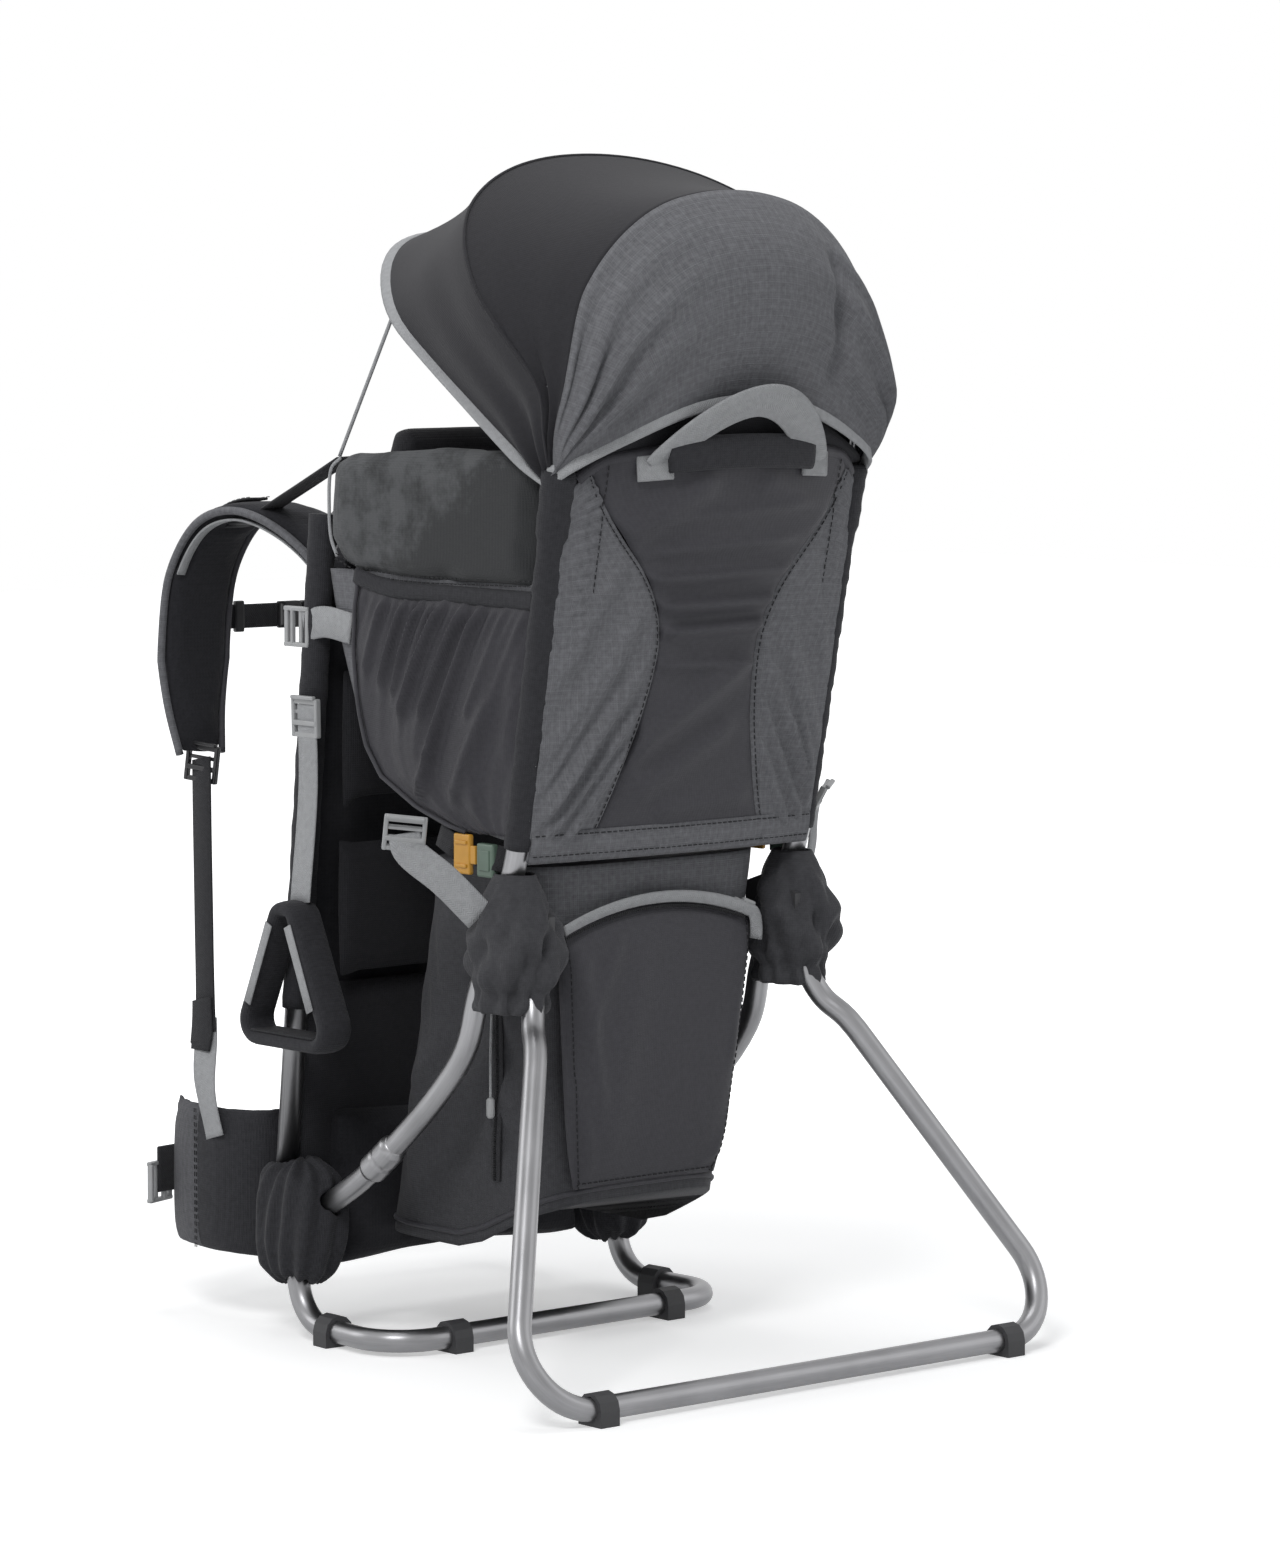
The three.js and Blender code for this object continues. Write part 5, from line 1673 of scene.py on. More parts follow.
    def walls(self) -> None:
        """Makes the side walls, their stretch pockets and the padded collars."""
        f = self.finishes
        wall = surface("wall", self.wall_place, 40, 30, f.ripstop, 0.009)
        pair("side_wall_cloth", wall, "pack", "ripstop", "side_wall")
        pocket = surface("pocket", self.pocket_place, 130, 60, f.stretch, 0.0012)
        for piece in pair("stretch_pocket", pocket, "pack", "ripstop"):
            declare_sheet(piece)
        top = [self.pocket_place(1 - i / 80, 1.0) + Vector((0.0028, 0, -0.0035)) for i in range(81)]
        hem = band("hem", top, UP, 0.014, 0.0045, f.dark_uv)
        pair("pocket_elastic", hem, "pack", "black_webbing")
        foot = [self.pocket_place(1.0, i / 60) + Vector((0.0014, 0.0014, 0)) for i in range(61)]
        pair("pocket_piping", pipe("pocket_edge", foot, 0.0018, f.smooth, 8), "pack", "smooth_cloth")
        stuffing = Stuffing(voxel=0.0055, tuck=0.003, cap=0.006)
        collar = padded("collar", "side_collar_right", f.collar, stuffing)
        for piece in pair("velour_collar", collar, "pack", "velour", "side_collar"):
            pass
        front = [at(WALL_OUT + 0.4, y, z) for y,
                 z in ((117, 622), (124.6, 636), (127, 660), (124, 690), (112, 699))]
        piping = pipe("collar_front", smooth(front, 40), 0.0014, f.grey_tape, 8)
        pair("collar_piping", piping, "pack", "grey_webbing")
        seam = [at(WALL_OUT + 4.4, y, z) for y,
                z in ((112, 616), (84, 607), (40, 603), (0, 602), (-60, 603), (-124, 604))]
        rows = [[p + Vector((0, 0, dz)) for p in smooth(seam, 50)] for dz in (0.004, 0.008)]
        sewn = self.stitching.sew("collar_rows", rows)
        pair("collar_stitches", sewn, "pack", "dark_cloth")

    def wall_front(self, z: float) -> float:
        """Front edge of a side wall at a height."""
        knots = ((410, -110), (417, -70), (423, -25), (436, 20), (457, 64), (480, 82), (505, 93), (560, 114),
                 (610, 126), (640, 130))
        return between_knots(knots, z)

    def wall_place(self, u: float, v: float) -> Vector:
        """A point of the right side wall's outside."""
        z = lerp(414, 612, v)
        y = lerp(side_tube(z).y + 6, self.wall_front(z), u)
        return at(WALL_OUT + 1.5 * hump(u) ** 0.5 * hump(v), y, z)

    def pocket_front(self, z: float) -> float:
        """Front edge of a stretch pocket at a height."""
        return self.wall_front(z + 4) - 7 - 32 * clamp((z - 470) / 130) ** 1.4

    def pocket_place(self, u: float, v: float) -> Vector:
        """A point of the gathered stretch pocket on the right wall.

        Args:
            u, v: shares of its width and height, from 0 to 1.

        Returns:
            The point in the scene.
        """
        z = lerp(417, 601 + 2 * u + 9 * clamp((u - 0.72) / 0.28) ** 2, v)
        y = lerp(side_tube(z).y + 7, self.pocket_front(z), u)
        down = 1 - v
        full = hump(clamp(u * 0.96 + 0.02)) ** 0.5
        slant = u - 0.34 * down
        below = clamp((down - 0.05) / 0.06)
        gather = 3.0 * sin(2 * pi * (16 * slant) + 1.8 * sin(9 * u)) * exp(-down * 5) * below
        drape = 4.2 * sin(2 * pi * 6.3 * slant + 1.2 * sin(7 * u)) * exp(-down * 1.4) * below
        deep = 4.8 * sin(2 * pi * (2.4 * slant + 0.15)) * hump(down) ** 0.6
        belly = 8.5 * hump(down ** 0.8) ** 0.8
        folds = lifted(POCKET_FOLDS, y, z) * clamp(down / 0.08)
        out = full * (1.0 + belly + 1.2 * gather + 0.5 * drape + 0.7 * deep + folds)
        return at(WALL_OUT + 1.2 + max(out, 0.6), y, z)

    def inside(self) -> None:
        """Makes the front wall, the chin pad, the seat and the buckle of the child's harness."""
        f = self.finishes
        # The front wall and the seat pad take the near-black inner cloth: painted shade of the cabin's
        # shadowed inside, darker than the seat's own velour.
        front = padded("cabin_front", "cabin_front_wall", f.lining_solid,
                       Stuffing(voxel=0.006, tuck=0.0025, cap=0.004))
        dress(front, "pack", "smooth_cloth", "cabin_front_wall")
        seat = padded("child_seat_pad", "child_seat", f.lining_solid,
                      Stuffing(voxel=0.0045, tuck=0.002, cap=0.004))
        dress(seat, "seat", "velour", "child_seat")
        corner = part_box("child_seat")[1]
        spot = Vector((0, corner.y - 0.012, corner.z - 0.03))
        buckle = self.hardware.release_socket("harness_buckle", f.black, spot + Vector((0.01, -0.012, 0)),
                                              RIGHT, UP, 0.8)
        dress(buckle, "seat", "black_plastic")

    def handle(self) -> None:
        """Makes the grab handle with its end patches and the strip between them."""
        f = self.finishes
        lean = Vector((0, -0.58, 0.81))
        span, rise = 82.0, 61.0
        foot = Vector((0, self.rear_face(span, 698) - 0.5, 698))
        points, sides = [], []
        for i in range(57):
            s = sin(pi / 2 * lerp(-1, 1, i / 56))
            points.append(there(foot + Vector((span * s, 0, 0)) + lean * (rise * (1 - abs(s) ** 1.9))))
            slope = rise * 1.9 * copysign(abs(s) ** 0.9, s)
            sides.append((lean * span + Vector((slope, 0, 0))).normalized())
        wide = lambda t, tangent: sides[min(int(round(t * 56)), 56)]
        strap = swept("grab_handle_webbing", points,
                      lambda t: strip_section(lerp(0.02, 0.031, hump(t) ** 0.6), 0.003), wide, f.grey_tape)
        dress(strap, "pack", "grey_webbing", "grab_handle")
        strip = [self.rear_place(x, self.crest(x) - 3, (), 4.5) for x in range(-72, 73, 4)]
        core = swept("handle_pad", strip, lambda t: pad_section(0.026, 0.009, 16), lambda t, tangent: UP,
                     f.dark_uv)
        dress(core, "pack", "dark_cloth")
        for name, side in (("right", 1), ("left", -1)):
            patch = [self.rear_place(side * lerp(66, 96, i / 6), self.crest(80) - 10 - 1.5 * i / 6, (), 2.4)
                     for i in range(7)]
            tab = band(f"handle_patch_{name}", patch, UP, 0.02, 0.0024, f.grey_tape)
            dress(tab, "pack", "grey_webbing")

    def entries(self) -> None:
        """Makes the entry buckles on each side and the adjuster webbing at the front corners."""
        f = self.finishes
        right, up = FORWARD, UP
        centre = at(WALL_OUT + 2, -58, 400)
        clip = Shape().block((16, 0, 0), (20, 4.5, 31), 1.4).block((16, -2.4, 9), (14, 2.4, 3), 0.8)
        clip.block((16, -2.4, -9), (14, 2.4, 3), 0.8).block((4, 0, 0), (8, 3, 14), 0.6)
        clip = self.hardware.set(clip, "entry_clip_body", f.amber, centre, right, up)
        pair("entry_clip_part", clip, "entry_clip_{side}", "amber_plastic", "entry_clip")
        tail = [centre + Vector((-0.0005, 0.026 + 0.02 * t, 0.004 + 0.009 * t)) for t in (0, 0.35, 0.7, 1.0)]
        flap = band("tail", tail, Vector((0, -0.3, 1)), 0.02, 0.002, f.black_tape)
        pair("entry_clip_webbing", flap, "entry_clip_{side}", "black_webbing")
        socket = Shape().block((-13, 0, -3), (20, 6, 26), 1.6).block((-13, -3, -3), (12, 1.6, 16), 0.6)
        socket = self.hardware.set(socket, "entry_socket_body", f.green, centre, right, up)
        pair("entry_socket_part", socket, "pack", "green_plastic", "entry_socket")
        web = [centre + Vector((-0.001 * s, -0.022 - 0.001 * s, -0.0004 * s)) for s in range(0, 16, 3)]
        pair("entry_socket_webbing", band("web", web, Vector((0, 0.25, 1)), 0.02, 0.002, f.black_tape),
             "pack",
             "black_webbing")
        run = smooth([at(WALL_OUT + 3, 96, 566), at(WALL_OUT + 5, 128, 570), at(WALL_OUT + 8, 150, 566)], 16)
        pair("adjuster_webbing", band("adjust", run, up, 0.025, 0.0022, f.grey_tape), "pack", "grey_webbing")
        lock = self.hardware.ladder_lock("adjust_lock", f.grey, at(WALL_OUT + 8, 159, 565), UP,
                                         Vector((0, 1, -0.1)), 24)
        pair("adjuster_buckle", lock, "pack", "grey_plastic")

    def build(self) -> None:
        """Makes the whole cabin."""
        self.rear_panel()
        self.walls()
        self.inside()
        self.handle()
        self.entries()


# ---- Storage bag ----

@dataclass
class Bag:
    """The storage bag with its zipped pocket, side zips, slider and cord pull."""

    finishes: Finishes
    stitching: Stitching
    hardware: Hardware
    top: float = 390.0
    base: float = 80.0
    zip_radius: float = 255.0
    zip_top: float = 356.0
    pocket_base: float = 136.0

    def rear(self, t: float) -> float:
        """Rear of the bag at a share of its height."""
        return lerp(-78, -94, t)

    def front(self, t: float) -> float:
        """Front of the bag at a share of its height."""
        return lerp(145.4, 51, t)

    def base_at(self, y: float) -> float:
        """Height of the bag's base at a place fore and aft."""
        return self.base + 46 * clamp((20 - y) / 100, 0, 2)

    def bag_place(self, u: float, v: float) -> Vector:
        """A point of the bag's shell: a soft-cornered loft that sags a little between its seams.

        Args:
            u: share of the way round.
            v: share of the height.

        Returns:
            The point in the scene.
        """
        turn = 2 * pi * u
        soft = lambda c: copysign(abs(c) ** 0.42, c)
        cx, cy = soft(cos(turn)), soft(sin(turn))
        y = lerp(self.rear(v), self.front(v), (cy + 1) / 2)
        half = lerp(98, 124, v) - 1
        z = lerp(self.base_at(y), self.top, v)
        bulge = hump(v) ** 0.7
        side = abs(cx) ** 8
        fold = 4.2 * sin(0.06 * y + 0.022 * z) + 3.2 * sin(0.1 * (y + 0.6 * z) + 2 * sin(0.03 * z))
        fold += 1.6 * sin(0.21 * y - 0.07 * z)
        x = cx * half + copysign(1, cx) * side * (3.0 * bulge + fold * bulge - 2)
        back = abs(cy) ** 8 if cy < 0 else 0
        y -= back * (1.5 * bulge + 1.2 * sin(0.09 * x + 0.05 * z) * bulge)
        return there(Vector((x, y, z)))

    def zip_line(self, x: float) -> float:
        """Height of the zip's arc."""
        return self.zip_top - self.zip_radius + sqrt(self.zip_radius ** 2 - x ** 2)

    def face(self, z: float) -> float:
        """The bag's rear face at a height."""
        foot = self.base_at(-80)
        return self.rear((z - foot) / (self.top - foot))

    def pocket_place(self, u: float, v: float) -> Vector:
        """A point of the zipped pocket on the rear face.

        Args:
            u, v: shares of its width and height, from 0 to 1.

        Returns:
            The point in the scene.
        """
        side = lerp(-1, 1, u)
        x = side * lerp(79, 99, v) * (1 - 0.09 * (1 - v) ** 8)
        z = lerp(self.pocket_base, self.zip_line(x), v)
        rim = (1 - abs(side) ** 7) ** 0.6 * min(1.0, (1 - (1 - v) ** 9), 1.15 - v ** 12)
        ridges = ridges_of(
            ((66, 148), (94, 200), 6, 4.0), ((50, 142), (88, 160), 5, 3.4), ((-86, 330), (-58, 190), 9, 4.6),
            ((90, 330), (78, 220), 7, 3.4), ((-62, 146), (-84, 230), 7, 3.8),
                ((-44, 340), (-78, 250), 8, 3.2),
            ((-20, 330), (-50, 150), 16, 2.6))
        depth = 13.0 * rim + lifted(ridges, x, z) * rim
        return there(Vector((x, self.face(z) - 1.4 - depth, z)))

    def build(self) -> None:
        """Makes the bag and everything on it."""
        f = self.finishes
        bag = surface("storage_bag_shell", self.bag_place, 150, 60, f.ripstop_dark, closed=True, cap=True)
        tinted(bag, f.ripstop, lambda p: p.z > at(0, 0, 334).z and p.y < at(0, -60, 0).y)
        dress(bag, "pack", "ripstop", "storage_bag")
        pocket = surface("lower_pocket_shell", self.pocket_place, 90, 90, f.smooth, 0.0014)
        dress(pocket, "pack", "smooth_cloth", "lower_pocket")
        self.zips()
        self.pull()
        self.seams()

    def zips(self) -> None:
        """Makes the pocket's pale zip band, its teeth and slider, and the dark side zips."""
        f = self.finishes
        on_face = lambda x, z, out: there(Vector((x, self.face(z) - out, z)))
        arc = [on_face(x, self.zip_line(x) + 5, 9.5) for x in range(-98, 95, 4)]
        turned = [on_face(98, self.zip_line(96) + 1, 9), on_face(101, self.zip_line(96) - 8, 7.5),
                  on_face(102, self.zip_line(96) - 17, 6)]
        line = smooth([*arc, *turned], 110)
        dress(band("pocket_zip_band", line, Vector((0, -0.35, 1)), 0.0105, 0.0024, f.grey_tape), "pack",
              "grey_webbing")
        lower = [p + Vector((0, 0.0006, -0.0072)) for p in line[:100]]
        teeth = self.stitching.sew("pocket_zip_teeth", [lower], 0.0019, 0.0012, 0.0012, f.thread)
        dress(teeth, "pack", "dark_cloth")
        low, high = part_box("zip_slider")
        spot = (low + high) / 2 + Vector((0, -0.004, 0))
        slider = Shape().block((0, 0, 0), (13, 4.5, 8), 1.2).block((-10, -1, -1), (12, 1.8, 5), 0.8)
        part = self.hardware.set(slider, "zip_slider_part", f.grey, spot, Vector((1, 0, -0.4)), UP)
        dress(part, "pocket_zip", "grey_plastic", "zip_slider")
        side = [self.side_point(y, z) for y,
                z in ((-42, 300), (-38, 260), (-33, 215), (-27, 170), (-20, 140))]
        tape = band("side_zip", smooth(side, 40), Vector((0, 1, 0.12)), 0.011, 0.002, f.black_tape)
        pair("side_zip_tape", tape, "pack", "black_webbing")
        row = self.stitching.sew("side_teeth", [[p + Vector((0.0014, 0, 0)) for p in smooth(side, 60)]],
                                 0.002, 0.0013, 0.0013)
        pair("side_zip_teeth", row, "pack", "dark_cloth")

    def side_point(self, y: float, z: float, out: float = 1.2) -> Vector:
        """A point on the bag's right side.

        Args:
            y, z: the place.
            out: how far it stands off, in millimetres.

        Returns:
            The point in the scene.
        """
        v = clamp((z - self.base_at(y)) / (self.top - self.base_at(y)))
        middle = (self.rear(v) + self.front(v)) / 2
        deep = (self.front(v) - self.rear(v)) / 2
        turn = asin(clamp(abs(y - middle) / deep) ** (1 / 0.42)) * (1 if y > middle else -1)
        point = self.bag_place(turn / (2 * pi) % 1.0, v)
        return point + Vector((out / 1000, 0, 0))

    def pull(self) -> None:
        """Makes the side zip's cord pull, with its bead, on the left."""
        f = self.finishes
        low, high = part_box("side_zip_pull")
        x = (low.x + high.x) / 2 - 0.001
        top = Vector((x, at(0, -33, 0).y, high.z - 0.001))
        run = smooth([top, Vector((x - 0.0005, top.y + 0.001, lerp(high.z, low.z, 0.3))),
                      Vector((x, top.y + 0.002, lerp(high.z, low.z, 0.6))),
                      Vector((x, top.y + 0.002, low.z + 0.014))], 24)
        cord = pipe("side_zip_cord", run, 0.0011, f.grey_tape, 8)
        dress(cord, "pack", "black_webbing", "side_zip_pull")
        bead = pipe("zip_bead",
                    [run[-1] + Vector((0, 0, dz)) for dz in (0.003, 0.001, -0.004, -0.011, -0.013)], 0.0034,
                    f.grey, 14, lambda t: 0.6 if t < 0.1 or t > 0.9 else 1.0)
        dress(bead, "pack", "black_webbing")
        LOG.info("side zip's cord pull: %.0f mm long", runs_of(run)[-1] * 1000)
        runs_of(run)[-1]

    def seams(self) -> None:
        """Makes the bag's piping and stitch rows."""
        f = self.finishes
        ring = [self.bag_place(i / 120, 0.035) for i in range(120)]
        dress(pipe("bag_base_piping", ring, 0.0022, f.smooth, 8, ring=True), "pack", "smooth_cloth")
        outline = [self.pocket_place(0.03, 1 - i / 40) for i in range(41)]
        outline += [self.pocket_place(lerp(0.03, 0.97, i / 40), 0.02) for i in range(41)]
        outline += [self.pocket_place(0.97, i / 40) for i in range(41)]
        rows = [[p + Vector((0, -0.0006, 0)) for p in outline]]
        dress(self.stitching.sew("pocket_stitches", rows), "pack", "dark_cloth")


# ---- Wearer's harness and hip belt ----

def pad_section(width: float, thick: float, sides: int = 28) -> list[Coords]:
    """Outline of a padded strip: full across its middle and thin at its edges."""
    turns = [2 * pi * i / sides for i in range(sides)]
    soft = lambda c, power: copysign(abs(c) ** power, c)
    return [(-width / 2 * soft(cos(a), 0.7), -thick / 2 * soft(sin(a), 0.75)) for a in turns]


def tinted(piece: Piece, finish: Finish, rule: Callable[[Vector], bool]) -> None:
    """Gives a second finish to the faces whose middles meet a rule.

    Args:
        piece: the piece.
        finish: the second finish.
        rule: says which faces, by their middles.
    """
    piece.data.materials.append(finish)
    for face in piece.data.polygons:
        if rule(face.center):
            face.material_index = 1


def grooved(half: float, heights: Sequence[float]) -> Rule:
    """A rule that sinks an upright air channel and quilted rows into a pad's front face, in metres.

    Args:
        half: half width of the channel.
        heights: where the quilted rows lie.

    Returns:
        The rule, for shifted.
    """

    def depth(p: Vector, normal: Vector) -> float:
        """How far the pad's surface moves at a point.

        Args:
            p: a point of the pad.
            normal: its normal.

        Returns:
            The move along the normal.
        """
        if normal.y < 0.3:
            return 0.0
        sunk = 0.006 / (1 + exp((abs(p.x) - half) / 0.0016))
        rows = max(exp(-((p.z - z - 0.25 * abs(p.x)) / 0.004) ** 2) for z in heights)
        return -max(sunk, 0.004 * rows)

    return depth


@dataclass
class Harness:
    """The wearer's back pad, shoulder straps, chest strap and adjusters."""

    finishes: Finishes
    stitching: Stitching
    hardware: Hardware
    half: float = 112.0
    pad: float = 18.0
    thick: float = 14.0
    width: float = 67.0
    chest: Vector = Vector((0, 362.2, 560))

    def strap_line(self) -> list[Vector]:
        """Centre line of the right shoulder strap."""
        root = upright(556).y + TUBE_R + 0.8 + self.pad + self.thick / 2
        knots = ((70, root + 0.6, 556), (74, root + 9, 600), (84, 226, 634), (98, 274, 652), (106, 314, 642),
                 (self.half, 344, 602), (self.half + 2, 354, 546), (self.half + 8, 346, 492),
                 (self.half + 14, 330, 452))
        return [there(p) for p in smooth([Vector(k) for k in knots], 90)]

    def outward(self, points: Points) -> Callable[[float], Vector]:
        """A rule for the direction out of the strap's face along its line."""
        line = Line(points)
        return lambda t: (line.place(min(t + 0.01, 1))
                          - line.place(max(t - 0.01, 0))).cross(RIGHT).normalized()

    def build(self) -> None:
        """Makes the whole harness."""
        f = self.finishes
        stuffing = Stuffing(voxel=0.006, tuck=0.0025, cap=0.005)
        back = padded("back_pad_mesh", "back_pad", f.mesh, stuffing)
        shifted(back, grooved(0.03, (0.262, 0.352, 0.442, 0.532)))
        tinted(back, f.dark, lambda p: abs(p.x) < 0.03)
        dress(back, "pack", "dark_cloth", "back_pad")
        self.straps()
        self.lifters()
        self.webbing()
        self.chest_strap()

    def straps(self) -> None:
        """Makes the shoulder straps with their bound edges and stitched guides."""
        f = self.finishes
        points = self.strap_line()
        line, out = Line(points), self.outward(points)
        wide = lambda t: (self.width / 1000) * (1 - 0.35 * clamp((t - 0.8) / 0.2))
        deep = lambda t: 0.0155 * (1 - 0.5 * clamp((t - 0.94) / 0.06))
        across_at = lambda t, tangent: RIGHT
        core = swept("strap_core", points, lambda t: pad_section(wide(t), deep(t)), across_at, f.mesh)
        strap = padded("strap", "shoulder_strap_right", f.mesh, Stuffing(0.0045, 0.0012, 0.0022), core)
        for piece in pair("shoulder_pad", strap, "harness", "dark_cloth", "shoulder_strap"):
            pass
        shares = [i / 90 for i in range(91)]
        for name, side, finish, size in (("outer", 1, f.ripstop, 0.0034), ("inner", -1, f.smooth, 0.003)):
            edge = [line.place(t) + Vector((side * (wide(t) / 2 - 0.0005), 0, 0)) for t in shares]
            pair(f"strap_binding_{name}", pipe("binding", edge, size, finish, 8), "harness", "smooth_cloth")
        pale = [line.place(t) + out(t) * 0.0075 + Vector((wide(t) / 2 - 0.006, 0, 0)) for t in shares[10:56]]
        rim = band("rim", pale, RIGHT, 0.009, 0.002, f.grey_tape)
        pair("strap_rim", rim, "harness", "grey_webbing")
        over = [line.place(t) - out(t) * 0.0088 for t in shares[36:88]]
        tape = band("guide", over, RIGHT, 0.024, 0.0022, f.black_tape)
        pair("strap_guide", tape, "harness", "black_webbing")
        rows = [[p + Vector((s * 0.01, 0, 0)) - out(lerp(0.4, 0.97, i / 52)) * 0.0013 for i,
                 p in enumerate(over)]
                for s in (-1, 1)]
        pair("strap_stitches", self.stitching.sew("strap_rows", rows, finish=f.pale_thread), "harness",
             "dark_cloth")
        for share in (0.56, 0.77):
            loop = [line.place(share) - out(share) * 0.0108 + Vector((lerp(-0.019, 0.019, i / 6), 0, 0))
                    for i in range(7)]
            along = (line.place(share + 0.01) - line.place(share - 0.01)).normalized()
            tab = band("tab", loop, along, 0.011, 0.002, f.grey_tape)
            pair(f"strap_loop_{round(share * 100)}", tab, "harness", "grey_webbing")

    def lifters(self) -> None:
        """Makes the load lifters, which stretch between the frame and the straps."""
        f = self.finishes
        points = self.strap_line()
        line, out = Line(points), self.outward(points)
        top = line.place(0.44) + out(0.44) * 0.0098 + Vector((0, 0.004, 0))
        foot = at(124, 136, 698)
        run = smooth([foot, foot.lerp(top, 0.5) + Vector((0, 0, -0.001)), top,
                      top + Vector((0, 0.02, -0.003))], 30)
        web = band("web", run, RIGHT, 0.02, 0.0024, f.black_tape)
        stretched("load_lifter_{}_web", web, "black_webbing", (foot, top), "load_lifter_{}")
        lock = self.hardware.ladder_lock("lifter_lock", f.black, top + Vector((0, -0.012, 0.003)), RIGHT,
                                         Vector((0, 1, -0.05)), 20)
        pair("lifter_buckle", lock, "harness", "black_plastic")

    def webbing(self) -> None:
        """Makes the webbing from each strap down to the hip belt, with its ladder-lock."""
        f = self.finishes
        end = self.strap_line()[-1]
        base = Vector((self.half, 0, 0))
        outer = 162 + 7 + 8 + 1.6
        knots = [base + Vector(k) for k in ((22, 318, 400), (34, 300, 310), (45, 284, 240))]
        knots = [there(p) for p in knots] + [at(outer + 0.6, 256, 190), at(outer, 244, 150)]
        run = smooth([end + Vector((0.001, -0.002, -0.004)), *knots], 60)
        wide = Vector((0, 1, 0.2))
        dark = Line(run).part(0.0, 0.72, 44)
        pale = Line(run).part(0.68, 1.0, 24)
        fold = Line(run).part(0.62, 0.74, 10)
        loop = [*[p + Vector((0.0034, 0, 0)) for p in fold], fold[-1] + Vector((0.0044, 0, -0.006))]
        pale = [p + Vector((-0.0012, 0, 0)) for p in pale]
        for name, line, finish, slot, node in (
                ("upper", dark, f.black_tape, "black_webbing", "strap_webbing_{}"),
                ("lower", pale, f.grey_tape, "grey_webbing", ""),
                ("tail", loop, f.black_tape, "black_webbing", "")):
            web = band("web", line, wide, 0.024, 0.0022, finish)
            stretched(f"strap_webbing_{name}_{{}}", web, slot, (run[-1], run[0]), node)
        lock = self.hardware.ladder_lock("strap_end_lock", f.black, end + Vector((0.001, -0.003, -0.008)),
                                         Vector((0.25, 1, 0.1)), Vector((0, 0.2, 1)), 25)
        pair("strap_end_buckle", lock, "harness", "black_plastic")

    def chest_strap(self) -> None:
        """Makes the chest strap and its buckle."""
        f = self.finishes
        spot, right, up = there(self.chest), RIGHT, UP
        socket = self.hardware.release_socket("chest_socket", f.black, spot, right, up)
        dress(socket, "harness", "black_plastic", "chest_strap")
        clip = self.hardware.release_clip("chest_clip_half", f.black, spot, right, up)
        dress(clip, "chest_clip", "black_plastic", "chest_clip")
        for name, side, body, start in (("left", -1, "harness", 21), ("right", 1, "chest_clip", 17)):
            run = [at(side * x, y, 560) for x, y in ((start, 362.4), (60, 362.8), (80, 366.0), (112, 366.4))]
            web = band(f"chest_webbing_{name}", smooth(run, 24), up, 0.02, 0.002, f.black_tape)
            dress(web, body, "black_webbing")
            slider = Shape().block((0, 0, 0), (9, 5, 26), 1.2).block((0, 2.4, 0), (5, 3, 22), 0.8)
            part = self.hardware.set(slider, f"chest_slider_{name}", f.black, at(side * 62, 363.4, 560),
                                     right, up)
            dress(part, body, "black_plastic")


@dataclass
class HipBelt:
    """The lumbar pad, hip wings and belt buckle."""

    finishes: Finishes
    stitching: Stitching
    hardware: Hardware
    seam: float = 268.0
    front: float = 322.0
    buckle: Vector = Vector((0, 349, 114))

    def wing_line(self) -> list[Vector]:
        """Centre line of the right wing."""
        knots = ((126, 201.2), (150, 210), (168, 242), (166, 284), (154, self.front))
        return [there(p) for p in smooth([Vector((x, y, 114)) for x, y in knots], 60)]

    def build(self) -> None:
        """Makes the hip belt."""
        f = self.finishes
        lumbar = padded("lumbar_cushion", "lumbar_pad", f.mesh, Stuffing(voxel=0.006, tuck=0.003, cap=0.006))
        shifted(lumbar, grooved(0.02, (0.1, 0.14)))
        dress(lumbar, "pack", "dark_cloth", "lumbar_pad")
        line = Line(self.wing_line())
        deep = lambda t: 0.0165 * min(1.0, 0.35 + 3 * t)
        section = lambda t: pad_section(0.133 - 0.008 * t, deep(t), 40)
        core = swept("wing_core", self.wing_line(), section, lambda t, tangent: UP, f.dark)
        wing = padded("wing", "belt_wing_right", f.dark, Stuffing(0.005, 0.0012, 0.0024), core)
        line_y = at(0, self.seam, 0).y
        tinted(wing, f.ripstop_solid_dark, lambda p: p.y > line_y)
        for piece in pair("hip_wing", wing, "pack", "dark_cloth", "belt_wing"):
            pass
        share = 0.62
        out = RIGHT
        for name, offset in (("a", 0.0), ("b", 0.02)):
            rows = [line.place(share + offset) + out * 0.0098 + Vector((0, 0, lerp(-0.055, 0.055, i / 30)))
                    for i in range(31)]
            sewn = self.stitching.sew("wing_row", [rows])
            pair(f"wing_seam_{name}", sewn, "pack", "dark_cloth")
        self.belt()

    def belt(self) -> None:
        """Makes the belt's webbing, its buckle and the pale adjusters at the wing ends."""
        f = self.finishes
        spot, right, up = there(self.buckle), RIGHT, UP
        k = 1.7
        socket = self.hardware.release_socket("belt_socket_half", f.black, spot, right, up, k)
        dress(socket, "pack", "black_plastic", "belt_strap")
        clip = self.hardware.release_clip("belt_clip_half", f.black, spot, right, up, k)
        dress(clip, "belt_clip", "black_plastic", "belt_clip")
        for name, side, body, start in (("left", -1, "pack", 36), ("right", 1, "belt_clip", 30)):
            run = [at(side * x, 349 - 0.16 * (x - 28) * (1 if x < 150 else 1.03), 114)
                   for x in (start, 70, 110, 150, 176)]
            web = band(f"belt_webbing_{name}", smooth(run, 30), up, 0.038, 0.0024, f.black_tape)
            dress(web, body, "black_webbing")
            lock = self.hardware.ladder_lock(f"belt_adjuster_{name}", f.grey, at(side * 172, 328, 104), up,
                                             Vector((side, -0.35, 0)), 26)
            dress(lock, body, "grey_plastic")


# ---- Stirrups and side straps ----

